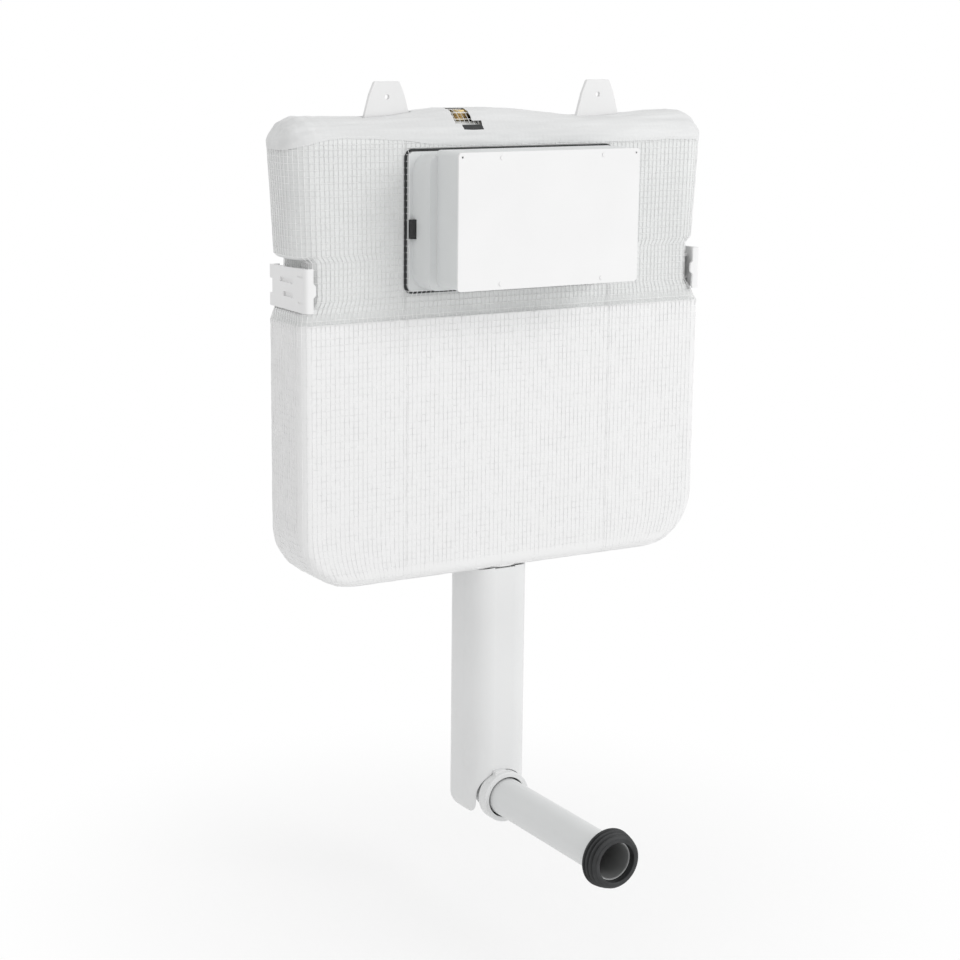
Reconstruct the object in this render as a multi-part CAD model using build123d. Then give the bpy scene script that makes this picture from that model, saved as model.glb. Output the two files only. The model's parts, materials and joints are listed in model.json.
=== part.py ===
from build123d import *
from functools import cache
import math
import os

os.makedirs("parts", exist_ok=True)

# A slim concealed toilet cistern, in millimetres.
# Origin: midway between the two hanger holes, on the back face of the hanger brackets.
# X runs to the right as seen from the room, Y into the wall, Z up.

# Fits
seat_gap = 0.3
slide_gap = 0.3
shaft_gap = 0.06
overrun = 2.0

# Tank
tank_wall = 3.0
lower_width = 467.0
lower_height = 288.5
lower_depth = 75.0
lower_edge_radius = 10.0
lower_top_radius = 28.0
lower_bottom_radius = 58.0
step_drop = 24.5
step_side = 1.5
waist_width = 438.0
waist_height = 37.0
waist_edge_radius = 8.0
upper_top_width = 484.0
upper_low_width = 470.0
upper_height = 127.0
upper_setback = 4.5
upper_edge_radius = 26.0
upper_top_radius = 22.0
upper_low_radius = 5.0
boss_radius = 33.3

# Plaster net: a thin sleeve over the tank, lifted over the inlet
net_gap = 0.3
net_thickness = 1.2
tent_foot_left = 72.0
tent_foot_right = 138.0
tent_top_left = 36.0
tent_top_right = 30.0
tent_foot_depth = 62.0
tent_top_depth = 28.0
tent_sink = 6.0
inlet_clear_radius = 18.0

# Hanger brackets
bracket_spacing = 245.0
bracket_thickness = 4.0
bracket_hole_radius = 2.5
bracket_hole_height = 24.0
bracket_top_height = 15.0
bracket_top_width = 27.0
bracket_knee_height = 2.5
bracket_knee_width = 38.0
bracket_root_width = 53.0
bracket_root_depth = 20.0
bracket_corner_radius = 3.0
pocket_wall = 2.5

# Side clips
clip_thickness = 3.5
clip_height = 42.6
clip_outer_width = 461.0
clip_drop = 6.7
clip_top_fall = 2.8
clip_front_return = 8.8
clip_back_return = 10.0
clip_return_thickness = 2.5
clip_edge_radius = 2.0
clip_foot_radius = 3.0
clip_front_radius = 4.0
clip_front_proud = 2.5
clip_rib_thickness = 3.0
clip_rib_length = 44.0
clip_rib_spacing = 24.0
clip_slot_height = 4.5
clip_slot_depth = 2.2
clip_slot_long = 28.0
clip_slot_short = 21.0
clip_slot_spacing = 13.3
clip_slot_drop = 14.5
clip_slot_setback = 50.7
clip_notch_depth = 7.0
clip_notch_height = 14.5
clip_notch_drop = 23.0
clip_nib_reach = 2.8
clip_nib_height = 14.0
clip_nib_flat = 8.0
clip_nib_drop = 21.0
clip_mark_length = 11.0
clip_mark_height = 1.6
clip_mark_depth = 0.8
clip_mark_upper_drop = 8.0
clip_mark_lower_drop = 33.0
clip_mark_setback = 5.0

# Access frame in the tank's front
flange_width = 236.0
flange_height = 135.0
flange_thickness = 3.0
flange_radius = 6.0
flange_top_drop = 26.5
gasket_thickness = 1.5
gasket_border = 2.5
access_width = 202.0
access_height = 109.0
sleeve_wall = 3.0
sleeve_depth = 20.5
ledge_width = 4.0
ledge_thickness = 2.0
splash_thickness = 2.0
rod_hole_radius = 4.0

# Protection box and its cover
shell_wall = 2.5
base_flange_width = 227.0
base_flange_inset = 2.0
base_flange_radius = 17.0
base_front_width = 218.0
base_front_inset = 3.0
base_front_radius = 8.0
base_depth = 23.5
box_width = 202.0
box_radius = 5.0
box_depth = 44.5
cover_width = 206.0
cover_height = 131.0
cover_thickness = 2.0
cover_radius = 3.5
cover_top_drop = 23.6
pin_spacing_x = 116.0
pin_spacing_z = 120.0
pin_shift = 2.6
pin_radius = 1.5
pin_length = 14.0
pin_head_radius = 2.1
pin_head_height = 0.9
pin_boss_radius = 4.1
pin_boss_length = 16.0
corner_hole_radius = 1.1
corner_hole_inset = 4.3

# Latches on the flange's side edges
latch_height = 18.5
latch_width = 7.5
latch_depth = 5.0
latch_tongue_width = 2.5
latch_tongue_inset = 0.5
latch_tongue_height = 6.0
latch_travel = 3.0
latch_drop = 6.5
latch_rib_count = 3
latch_rib_height = 0.6
latch_rib_thickness = 1.4

# Actuator and its two levers
crossbar_height = 6.0
crossbar_depth = 14.0
crossbar_drop = 4.0
cheek_thickness = 3.0
cheek_depth = 16.0
cheek_height = 28.0
web_thickness = 3.0
axle_radius = 2.5
axle_drop = 22.0
axle_setback = 14.5
lever_width = 26.0
lever_spacing = 44.0
lever_hub_radius = 6.0
lever_arm_length = 28.0
lever_arm_thickness = 3.0
lever_arm_width = 8.0
lever_tip_radius = 3.0
lever_push_length = 38.0
lever_push_thickness = 4.0
lever_pad_height = 16.0
lever_pad_thickness = 1.5
lever_angle = 24.0

# Lift rods
rod_width = 6.0
rod_thickness = 3.0
window_border = 3.0
window_gap = 0.6
head_overhang = 1.5
head_height = 3.0
lug_height = 6.0
lug_border = 3.0

# Flush valve in the tank's bottom
spigot_radius = 23.0
spigot_bore = 19.0
spigot_length = 22.0
seat_flange_radius = 30.0
seat_flange_thickness = 4.0
seat_washer_thickness = 2.0
seat_lip_radius = 22.0
seat_lip_height = 4.0
seat_nut_radius = 27.5
seat_nut_height = 10.0
grip_count = 12
grip_radius = 1.4
basket_radius = 29.5
basket_wall = 2.5
basket_height = 138.0
basket_roof = 3.0
basket_window_width = 26.0
basket_window_height = 26.0
basket_sill = 4.0
basket_slot_height = 60.0
basket_slot_width = 14.0
basket_slot_rise = 44.0
tube_radius = 16.0
tube_bore = 13.5
tube_length = 242.0
disc_radius = 26.0
disc_thickness = 4.0
flush_seal_thickness = 3.6
half_float_radius = 22.0
half_float_height = 40.0
tube_lug_drop = 12.0

# Water inlet on the tank's top
inlet_x = -41.0
inlet_radius = 10.48
inlet_bore = 7.5
inlet_rise = 11.0
inlet_flange_radius = 12.0
inlet_flange_thickness = 1.5
inlet_washer_thickness = 1.0
inlet_tail_length = 34.0
inlet_nut_radius = 15.0
inlet_nut_height = 7.0
inlet_nut_face_radius = 11.0
inlet_nut_face_height = 1.0
inlet_nut_sides = 6
grommet_width = 23.0
grommet_height = 6.5
grommet_cap = 2.0
grommet_lip = 2.0
grommet_tilt = 45.0

# Stop valve, hose and fill valve
stop_body_radius = 13.0
stop_body_height = 30.0
stop_nipple_drop = 19.0
stop_nipple_radius = 6.0
stop_nipple_length = 14.0
stop_spindle_radius = 4.0
stop_spindle_length = 3.0
knob_radius = 12.0
knob_depth = 9.0
knob_flute_count = 8
knob_flute_radius = 2.0
hose_radius = 5.0
hose_bend_share = 0.9
hose_nut_radius = 8.0
hose_nut_length = 10.0
fill_x = -170.0
fill_top_drop = 95.0
fill_head_radius = 17.0
fill_head_height = 24.0
fill_nipple_radius = 4.0
fill_nipple_length = 12.0
fill_shank_radius = 12.0
fill_shank_length = 96.0
fill_foot_radius = 16.0
fill_foot_height = 6.0
ring_wall = 3.0
ring_height = 12.0
ring_drop = 6.0
bracket_arm_thickness = 4.0
bracket_arm_inset = 0.5
float_width = 50.0
float_depth = 52.0
float_height = 50.0
float_radius = 8.0
float_arm = 40.0
float_arm_y = 16.0
float_pivot_side = 20.0
float_lever_thickness = 3.0
float_lever_height = 7.0
float_pin_radius = 1.5
float_hub_radius = 4.0
float_ear_height = 18.0
float_rod_radius = 1.5
float_bead_radius = 3.4
float_bead_height = 1.5
float_bead_spread = 4.4
fork_width = 9.0
fork_length = 13.0
fork_slot = 4.2

# Flush bend and its nut
bend_radius = 22.0
bend_wall = 3.0
bend_turn_radius = 24.0
bend_flare = 3.0
bend_flare_height = 4.0
bend_seal_height = 3.0
bend_nut_radius = 27.5
bend_nut_height = 21.0
bend_nut_drop = 3.0
outlet_drop = 725.0
socket_wall = 3.2

# Drop casing
casing_width = 70.0
casing_depth = 66.0
casing_radius = 24.0
casing_wall = 3.0
casing_toe = 22.5
casing_toe_radius = 16.0
casing_rear_depth = 8.0
casing_notch_rise = 13.5
casing_arch_radius = 27.8
casing_arch_depth = 27.0
casing_tongue = 1.2
casing_tongue_depth = 4.0

# Outlet: collar, lip seal, pipe and pan seal
pipe_radius = 20.0
pipe_bore = 18.2
pipe_reach = 242.5
pipe_stop_gap = 1.0
collar_radius = 27.0
collar_length = 13.0
collar_front_bore = 21.8
collar_lip = 3.0
collar_edge_radius = 1.2
nib_width = 14.0
nib_height = 3.0
nib_length = 6.0
nib_shift = 5.0
lip_seal_thickness = 2.0
pan_seal_length = 17.6
pan_seal_lip_radii = (29.6, 29.0, 28.0, 26.6)
pan_seal_core = 25.0
pan_seal_nose = 7.6
pan_seal_lip_share = 0.625

# Places worked out from the sizes
mid_y = -bracket_thickness / 2
net_reach = net_gap + net_thickness
back_y = mid_y + lower_depth / 2
front_y = back_y - lower_depth
wall_y = back_y + net_reach
upper_front_y = front_y + upper_setback
waist_back_y = back_y - clip_thickness
tank_top_z = -bracket_hole_height
tank_roof_z = tank_top_z - tank_wall
upper_low_z = tank_top_z - upper_height
lower_top_z = upper_low_z - waist_height
lower_low_z = lower_top_z - lower_height
step_z = lower_top_z - step_drop
tank_floor_z = lower_low_z + tank_wall

flange_back_y = upper_front_y - gasket_thickness
flange_front_y = flange_back_y - flange_thickness
flange_top_z = tank_top_z - flange_top_drop
flange_mid_z = flange_top_z - flange_height / 2
sleeve_width = access_width - 2 * sleeve_wall
sleeve_height = access_height - 2 * sleeve_wall
sleeve_inner_width = sleeve_width - 2 * sleeve_wall
sleeve_inner_height = sleeve_height - 2 * sleeve_wall
sleeve_top_z = flange_mid_z + sleeve_inner_height / 2
sleeve_end_y = flange_back_y + sleeve_depth
ledge_y = flange_front_y + flange_thickness + splash_thickness

base_front_y = flange_front_y - base_depth
box_front_y = base_front_y - box_depth
cover_mid_z = tank_top_z - cover_top_drop - cover_height / 2
pin_places = [
    (pin_shift + x * pin_spacing_x / 2, cover_mid_z + z * pin_spacing_z / 2)
    for x in (-1, 1)
    for z in (-1, 1)
]
latch_mid_z = flange_mid_z - latch_drop
latch_inner_x = flange_width / 2 - latch_width
tongue_inner_x = latch_inner_x + latch_tongue_inset

axle_y = flange_back_y + axle_setback
axle_z = sleeve_top_z - axle_drop
lever_tip_y = axle_y + lever_arm_length
window_width = lever_arm_width + 2 * window_gap
window_height = 2 * (lever_tip_radius + window_gap)

seat_top_z = tank_floor_z + seat_washer_thickness + seat_flange_thickness
seat_lip_z = seat_top_z + seat_lip_height
spigot_end_z = tank_floor_z - spigot_length - tank_wall
seal_low_z = seat_lip_z + seat_gap
disc_low_z = seal_low_z + flush_seal_thickness
tube_top_z = disc_low_z + tube_length
basket_top_z = seat_top_z + basket_height
half_float_low_z = basket_top_z + seat_gap
half_float_top_z = half_float_low_z + half_float_height
tube_lug_top_z = tube_top_z - tube_lug_drop

inlet_tail_low_z = tank_top_z + inlet_rise - inlet_tail_length
stop_top_z = tank_roof_z - inlet_nut_height - seat_gap
stop_z = stop_top_z - stop_nipple_drop
knob_y = mid_y - stop_body_radius - stop_spindle_length
hose_start_x = inlet_x - stop_body_radius - stop_nipple_length
fill_top_z = tank_top_z - fill_top_drop
fill_head_low_z = fill_top_z - fill_head_height
shank_low_z = fill_head_low_z - fill_shank_length
float_low_z = shank_low_z + fill_foot_height + seat_gap
float_top_z = float_low_z + float_height
float_pivot_x = fill_x + float_pivot_side
float_tip_x = float_pivot_x - float_arm
float_pivot_z = fill_top_z + float_lever_height
float_bar_y = mid_y + float_arm_y

outlet_z = -outlet_drop
bend_top_z = spigot_end_z - bend_seal_height
bend_bore = bend_radius - bend_wall
turn_z = outlet_z + bend_turn_radius
turn_y = mid_y - bend_turn_radius
casing_front_y = mid_y - casing_depth / 2
casing_back_y = mid_y + casing_depth / 2
casing_seam_y = casing_back_y - casing_rear_depth
casing_low_z = outlet_z - casing_toe
socket_bore = pipe_radius + slide_gap
collar_front_y = casing_front_y + casing_wall - collar_length
socket_end_y = collar_front_y + collar_lip + lip_seal_thickness
pipe_end_y = -pipe_reach
pan_seal_front_y = pipe_end_y - pan_seal_nose
pan_seal_back_y = pan_seal_front_y + pan_seal_length


def block(x, y, z):
    """A box between two X, two Y and two Z values, given in any order."""
    size = [abs(b - a) for a, b in (x, y, z)]
    place = [(a + b) / 2 for a, b in (x, y, z)]
    return Pos(*place) * Box(*size)


def along(value, half):
    """The two ends of a stretch centred on a value."""
    return (value - half, value + half)


def post(radius, z, at=(0, 0)):
    """An upright cylinder between two Z values."""
    height = abs(z[1] - z[0])
    return Pos(at[0], at[1], sum(z) / 2) * Cylinder(radius, height)


def bar_y(radius, y, at=(0, 0)):
    """A cylinder along Y between two Y values, at an X and a Z."""
    length = abs(y[1] - y[0])
    return Pos(at[0], sum(y) / 2, at[1]) * Rot(90, 0, 0) * Cylinder(radius, length)


def bar_x(radius, x, at=(0, 0)):
    """A cylinder along X between two X values, at a Y and a Z."""
    length = abs(x[1] - x[0])
    return Pos(sum(x) / 2, at[0], at[1]) * Rot(0, 90, 0) * Cylinder(radius, length)


def plan(width, y, radius, z):
    """A rounded rectangle seen from above, between two Y values at height z."""
    depth = abs(y[1] - y[0])
    return Pos(0, sum(y) / 2, z) * RectangleRounded(width, depth, radius)


def front_face(width, height, radius, mid_z, y):
    """A rounded rectangle seen from the room, at one Y value."""
    return Pos(0, y, mid_z) * (Plane.XZ * RectangleRounded(width, height, radius))


def front_plate(width, height, radius, mid_z, y):
    """A rounded plate seen from the room, between two Y values."""
    back = max(y)
    return extrude(front_face(width, height, radius, mid_z, back), amount=abs(y[1] - y[0]))


def mirrored(shape):
    """The same shape on the other side of the centre plane."""
    return mirror(shape, about=Plane.YZ)


def upper_form(grow):
    """The tank's upper part as a solid, wider at the top, grown by a distance."""
    depth = (upper_front_y - grow, back_y + grow)
    radius = upper_edge_radius + grow
    low = plan(upper_low_width + 2 * grow, depth, radius, upper_low_z - grow)
    top = plan(upper_top_width + 2 * grow, depth, radius, tank_top_z + grow)
    body = loft([low, top], ruled=True)
    body = fillet(body.faces().sort_by(Axis.Z)[-1].edges(), upper_top_radius + grow)
    return fillet(body.faces().sort_by(Axis.Z)[0].edges(), upper_low_radius + grow)


def waist_form(grow):
    """The narrow part between the upper and lower parts, reaching into both."""
    depth = (upper_front_y - grow, waist_back_y + grow)
    low = step_z - lower_edge_radius
    face = plan(waist_width + 2 * grow, depth, waist_edge_radius + grow, low)
    return extrude(face, amount=upper_low_z + upper_low_radius + tank_wall - low)


def rounded_slab(half, y, z, corner_radii, edge_radius):
    """A slab with rounded lower and upper corners seen from the room, its edges rounded too."""
    low, top = z
    face = make_face(Polyline((-half, low), (half, low), (half, top), (-half, top), close=True))
    face = fillet(face.vertices().group_by(Axis.Y)[0], corner_radii[0])
    face = fillet(face.vertices().group_by(Axis.Y)[-1], corner_radii[1])
    body = extrude(Pos(0, y[1], 0) * (Plane.XZ * face), amount=y[1] - y[0])
    ends = body.faces().sort_by(Axis.Y)
    return fillet(ends[0].edges() + ends[-1].edges(), edge_radius)


def shoulder_form(grow):
    """The top of the tank's lower part, set back from the body below its step."""
    radius = lower_top_radius + grow - step_side
    return rounded_slab(
        lower_width / 2 + grow - step_side,
        (upper_front_y - grow, back_y + grow),
        (lower_top_z - 2 * lower_top_radius - overrun, lower_top_z + grow),
        (radius, radius),
        lower_edge_radius + grow,
    )


def lower_form(grow):
    """The tank's lower part as a solid: a proud body with a step and shoulders over it."""
    y = (front_y - grow, back_y + grow)
    proud = rounded_slab(
        lower_width / 2 + grow,
        y,
        (lower_low_z - grow, lower_top_z + grow),
        (lower_bottom_radius + grow, lower_top_radius + grow),
        lower_edge_radius + grow,
    )
    above = block(
        along(0, lower_width / 2 + grow + overrun),
        (y[0] - overrun, y[1] + overrun),
        (step_z + grow, lower_top_z + grow + overrun),
    )
    return proud - above + shoulder_form(grow)


@cache
def tank_form(grow):
    """The whole tank with its round outlet boss as one solid, grown by a distance."""
    boss = post(boss_radius + grow, (lower_low_z - grow, lower_low_z + lower_edge_radius), (0, mid_y))
    return upper_form(grow) + waist_form(grow) + lower_form(grow) + boss


def bracket_slot(border):
    """The space of one hanger bracket's root in the tank, grown by a border."""
    half = bracket_root_width / 2 + border
    low = tank_top_z - bracket_root_depth - border
    return block(
        along(bracket_spacing / 2, half),
        along(mid_y, bracket_thickness / 2 + border),
        (low, tank_top_z - tank_wall / 2),
    )


def access_cut(border):
    """A square cut through the tank's front wall behind the access frame."""
    return block(
        along(0, access_width / 2 - sleeve_wall + border),
        (upper_front_y - overrun, upper_front_y + tank_wall + overrun),
        along(flange_mid_z, access_height / 2 - sleeve_wall + border),
    )


def grommet_place():
    """The middle of the tank's rounded top front edge, above the inlet, tilted forward."""
    lean = math.radians(grommet_tilt)
    y = upper_front_y + upper_top_radius - upper_top_radius * math.sin(lean)
    z = tank_top_z - upper_top_radius + upper_top_radius * math.cos(lean)
    return Pos(inlet_x, y, z) * Rot(grommet_tilt, 0, 0)


def tank_body():
    """The blow-moulded tank with its bracket pockets and holes."""
    tank = tank_form(0) - tank_form(-tank_wall)
    pocket = bracket_slot(seat_gap + pocket_wall)
    tank += pocket + mirrored(pocket)
    slot = bracket_slot(seat_gap)
    mouth = block(
        along(bracket_spacing / 2, bracket_root_width / 2 + seat_gap),
        along(mid_y, bracket_thickness / 2 + seat_gap),
        (tank_top_z - tank_wall, tank_top_z + overrun),
    )
    tank -= slot + mouth + mirrored(slot + mouth)
    tank -= access_cut(seat_gap)
    tank -= post(
        inlet_radius + seat_gap, (tank_roof_z - overrun, tank_top_z + overrun), (inlet_x, mid_y)
    )
    tank -= post(
        spigot_radius + seat_gap, (lower_low_z - overrun, tank_floor_z + overrun), (0, mid_y)
    )
    neck = Box(
        grommet_width - 2 * grommet_lip + 2 * seat_gap,
        grommet_height - 2 * grommet_lip + 2 * seat_gap,
        2 * (tank_wall + overrun),
    )
    return tank - grommet_place() * neck


def tent(grow):
    """The peak that the net makes over the inlet, as a solid."""
    foot_x = inlet_x + (tent_foot_right - tent_foot_left) / 2
    foot_size = (tent_foot_left + tent_foot_right + 2 * grow, tent_foot_depth + 2 * grow)
    foot = Pos(foot_x, mid_y, tank_top_z - tent_sink) * Rectangle(*foot_size)
    top_x = inlet_x + (tent_top_right - tent_top_left) / 2
    top_size = (tent_top_left + tent_top_right + 2 * grow, tent_top_depth + 2 * grow)
    top = Pos(top_x, mid_y, tank_top_z + inlet_rise + seat_gap + grow) * Rectangle(*top_size)
    return loft([foot, top], ruled=True)


def plaster_net():
    """The net sleeve as a thin closed skin, cut out round what passes through it."""
    outer = tank_form(net_reach) + tent(net_thickness)
    net = outer - (tank_form(net_gap) + tent(0))
    border = gasket_border + seat_gap
    net -= front_plate(
        flange_width + 2 * border,
        flange_height + 2 * border,
        flange_radius + border,
        flange_mid_z,
        (upper_front_y - net_reach - overrun, upper_front_y + overrun),
    )
    slot = block(
        along(bracket_spacing / 2, bracket_root_width / 2 + seat_gap),
        along(mid_y, bracket_thickness / 2 + seat_gap),
        (tank_top_z - overrun, tank_top_z + inlet_rise + overrun),
    )
    net -= slot + mirrored(slot)
    cap = Box(grommet_width + 2 * seat_gap, grommet_height + 2 * seat_gap, 2 * (grommet_cap + overrun))
    net -= grommet_place() * cap
    net -= post(inlet_clear_radius, (tank_top_z, tank_top_z + inlet_rise + overrun), (inlet_x, mid_y))
    return net - post(
        seat_nut_radius + grip_radius + seat_gap,
        (lower_low_z - net_reach - overrun, lower_low_z + overrun),
        (0, mid_y),
    )


def hanger_bracket():
    """The right hanger bracket: a tapered plate with a screw hole."""
    root = tank_top_z - bracket_root_depth
    widths = (
        (bracket_root_width, root),
        (bracket_root_width, tank_top_z),
        (bracket_knee_width, bracket_knee_height),
        (bracket_top_width, bracket_top_height),
    )
    right = [(width / 2, z) for width, z in widths]
    left = [(-width / 2, z) for width, z in reversed(widths)]
    face = make_face(Polyline(*right, *left, close=True))
    face = fillet(face.vertices().group_by(Axis.Y)[-1], bracket_corner_radius)
    plate = extrude(Plane.XZ * face, amount=bracket_thickness)
    plate -= bar_y(bracket_hole_radius, (-bracket_thickness - overrun, overrun))
    return Pos(bracket_spacing / 2, 0, 0) * plate


def clip_profile(z, y):
    """The clip's outline seen from the side, lower at the back's top, as a wide solid."""
    outline = [(y[0], z[0]), (y[1], z[0]), (y[1], z[1] - clip_top_fall), (y[0], z[1])]
    face = make_face(Polyline(*outline, close=True))
    foot = face.vertices().sort_by(Axis.X)[-2:].sort_by(Axis.Y)[0]
    face = fillet(foot, clip_foot_radius)
    return extrude(Plane.YZ * face, amount=clip_outer_width)


def clip_shell(z, y):
    """The clip's plate with its front and back returns."""
    outer = clip_outer_width / 2
    inner = outer - clip_thickness
    shell = block((inner, outer), y, z)
    shell += block((outer - clip_front_return, outer), (y[0], y[0] + clip_return_thickness), z)
    back = waist_back_y + net_reach + seat_gap
    shell += block((outer - clip_back_return, outer), (back, y[1]), z)
    corners = shell.edges().filter_by(Axis.Z).group_by(Axis.X)[-1].sort_by(Axis.Y)
    shell = fillet(corners[0], clip_front_radius)
    corners = shell.edges().filter_by(Axis.Z).sort_by(Axis.Y)[-2:].sort_by(Axis.X)
    return fillet(corners[-1], clip_edge_radius)


def clip_nib(top, front):
    """The small sloped nib on the front return's free edge."""
    edge = clip_outer_width / 2 - clip_front_return
    mid = top - clip_nib_drop
    points = [
        (edge, mid - clip_nib_height / 2),
        (edge - clip_nib_reach, mid - clip_nib_flat / 2),
        (edge - clip_nib_reach, mid + clip_nib_flat / 2),
        (edge, mid + clip_nib_height / 2),
    ]
    face = make_face(Polyline(*points, close=True))
    back = Pos(0, front + clip_return_thickness, 0)
    return extrude(back * (Plane.XZ * face), amount=clip_return_thickness)


def side_clip():
    """The right side clip: a plate round the waist with recesses, ribs and two returns."""
    top = upper_low_z - clip_drop
    z = (top - clip_height, top)
    outer = clip_outer_width / 2
    inner = outer - clip_thickness
    y = (front_y - clip_front_proud, wall_y)
    clip = clip_shell(z, y) & clip_profile(z, y)
    rib_foot = waist_width / 2 + net_reach + seat_gap
    for side in (-1, 1):
        rib_z = along(sum(z) / 2 + side * clip_rib_spacing / 2, clip_rib_thickness / 2)
        clip += block((rib_foot, inner), along(mid_y, clip_rib_length / 2), rib_z)
    slot_y = back_y - clip_slot_setback
    slot_z = top - clip_slot_drop
    deep = (outer - clip_slot_depth, outer + overrun)
    for length, mid in ((clip_slot_long, slot_z), (clip_slot_short, slot_z - clip_slot_spacing)):
        clip -= block(deep, (slot_y, slot_y + length), along(mid, clip_slot_height / 2))
    notch_y = (wall_y - clip_notch_depth, wall_y + overrun)
    notch_z = along(top - clip_notch_drop, clip_notch_height / 2)
    clip -= block((inner - clip_back_return, outer + overrun), notch_y, notch_z)
    mark_y = (y[0] + clip_mark_setback, y[0] + clip_mark_setback + clip_mark_length)
    for drop in (clip_mark_upper_drop, clip_mark_lower_drop):
        mark_z = along(top - drop, clip_mark_height / 2)
        clip -= block((outer - clip_mark_depth, outer + overrun), mark_y, mark_z)
    return clip - tank_form(net_reach + seat_gap) + clip_nib(top, y[0])


def blanking_grommet():
    """A rubber stopper in the slot at the tank's top front edge."""
    cap = Pos(0, 0, grommet_cap / 2) * Box(grommet_width, grommet_height, grommet_cap)
    neck_depth = tank_wall + grommet_lip
    neck = Pos(0, 0, -neck_depth / 2) * Box(
        grommet_width - 2 * grommet_lip, grommet_height - 2 * grommet_lip, neck_depth
    )
    lift = upper_top_radius * (1 - math.cos(grommet_height / 2 / upper_top_radius))
    stopper = Pos(0, 0, seat_gap + lift) * (cap + neck)
    return grommet_place() * stopper


def access_gasket():
    """The black seal between the flange and the tank, a little larger than the flange."""
    border = gasket_border
    ring = front_plate(
        flange_width + 2 * border,
        flange_height + 2 * border,
        flange_radius + border,
        flange_mid_z,
        (flange_back_y, upper_front_y),
    )
    return ring - access_cut(seat_gap)


def tongue_slot(border):
    """The right latch's guide slot through the flange, grown by a border."""
    return block(
        (tongue_inner_x - border, tongue_inner_x + latch_tongue_width + border),
        (flange_front_y - overrun, flange_back_y + overrun),
        along(latch_mid_z, latch_tongue_height / 2 + border),
    )


def access_frame():
    """The flange with its sleeve through the tank's front wall and the inner ledge."""
    frame = front_plate(
        flange_width, flange_height, flange_radius, flange_mid_z, (flange_front_y, flange_back_y)
    )
    frame += block(
        along(0, sleeve_width / 2), (flange_back_y, sleeve_end_y), along(flange_mid_z, sleeve_height / 2)
    )
    hole = block(
        along(0, sleeve_inner_width / 2),
        (flange_front_y - overrun, sleeve_end_y + overrun),
        along(flange_mid_z, sleeve_inner_height / 2),
    )
    ledge = block(
        along(0, sleeve_inner_width / 2),
        (ledge_y, ledge_y + ledge_thickness),
        along(flange_mid_z, sleeve_inner_height / 2),
    )
    window = block(
        along(0, sleeve_inner_width / 2 - ledge_width),
        (ledge_y - overrun, ledge_y + ledge_thickness + overrun),
        along(flange_mid_z, sleeve_inner_height / 2 - ledge_width),
    )
    frame = frame - hole + (ledge - window)
    slot = tongue_slot(slide_gap) + Pos(latch_travel, 0, 0) * tongue_slot(slide_gap)
    return frame - slot - mirrored(slot)


def splash_plate():
    """The partition on the ledge, with a hole for each push rod."""
    plate = block(
        along(0, sleeve_inner_width / 2 - seat_gap),
        (ledge_y - splash_thickness, ledge_y),
        along(flange_mid_z, sleeve_inner_height / 2 - seat_gap),
    )
    for side in (-1, 1):
        at = (side * lever_spacing / 2, axle_z - lever_push_length + lever_pad_height / 2)
        plate -= bar_y(rod_hole_radius, (ledge_y - splash_thickness - overrun, ledge_y + overrun), at)
    return plate


def base_solid(shrink):
    """The box's flared base as a solid, from the flange to the shoulder."""
    back = front_face(
        base_flange_width - 2 * shrink,
        flange_height - 2 * base_flange_inset - 2 * shrink,
        base_flange_radius - shrink,
        flange_mid_z,
        flange_front_y,
    )
    front = front_face(
        base_front_width - 2 * shrink,
        flange_height - 2 * base_front_inset - 2 * shrink,
        base_front_radius - shrink,
        flange_mid_z,
        base_front_y,
    )
    return loft([back, front], ruled=True)


def latch_space(border):
    """The space of the right latch's body in front of the flange, grown by a border."""
    return block(
        (latch_inner_x - border, flange_width / 2 + border),
        (flange_front_y - latch_depth, flange_front_y + border),
        along(latch_mid_z, latch_height / 2 + border),
    )


def shoulder_plate():
    """The step between the flared base and the box's sleeve, with the way through it."""
    step = (base_front_y - shell_wall, base_front_y)
    base_height = flange_height - 2 * base_front_inset
    plate = front_plate(base_front_width, base_height, base_front_radius, flange_mid_z, step)
    plate += front_plate(box_width, cover_height, box_radius, cover_mid_z, step)
    low = cover_mid_z - cover_height / 2 + shell_wall
    top = flange_mid_z + base_height / 2 - shell_wall
    reach = (step[0] - overrun, step[1] + overrun)
    return plate - block(along(0, box_width / 2 - shell_wall), reach, (low, top))


def box_sleeve():
    """The box's straight front part with a boss for each cover pin."""
    y = (box_front_y, base_front_y - shell_wall)
    outer = front_plate(box_width, cover_height, box_radius, cover_mid_z, y)
    width, height = box_width - 2 * shell_wall, cover_height - 2 * shell_wall
    cut = (y[0] - overrun, y[1] + overrun)
    sleeve = outer - front_plate(width, height, box_radius - shell_wall, cover_mid_z, cut)
    for at in pin_places:
        boss = bar_y(pin_boss_radius, (box_front_y, box_front_y + pin_boss_length), at)
        sleeve += boss & outer
    return sleeve


def protection_box():
    """The stepped sleeve in front of the flange, with a notch round each latch."""
    box = base_solid(0) - base_solid(shell_wall) + shoulder_plate() + box_sleeve()
    depth = pin_length + seat_gap
    for at in pin_places:
        box -= bar_y(pin_radius + shaft_gap, (box_front_y - overrun, box_front_y + depth), at)
    room = latch_space(slide_gap)
    room += room.moved(Pos(0, -latch_rib_height - slide_gap, 0))
    return box - room - mirrored(room)


def cover_plate():
    """The flat lid of the box, with the pin holes and a small hole in each top corner."""
    y = (box_front_y - cover_thickness, box_front_y)
    plate = front_plate(cover_width, cover_height, cover_radius, cover_mid_z, y)
    cut = (y[0] - overrun, y[1] + overrun)
    for at in pin_places:
        plate -= bar_y(pin_radius + shaft_gap, cut, at)
    corner_x = cover_width / 2 - corner_hole_inset
    corner_z = cover_mid_z + cover_height / 2 - corner_hole_inset
    for side in (-1, 1):
        plate -= bar_y(corner_hole_radius, cut, (side * corner_x, corner_z))
    return plate


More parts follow.
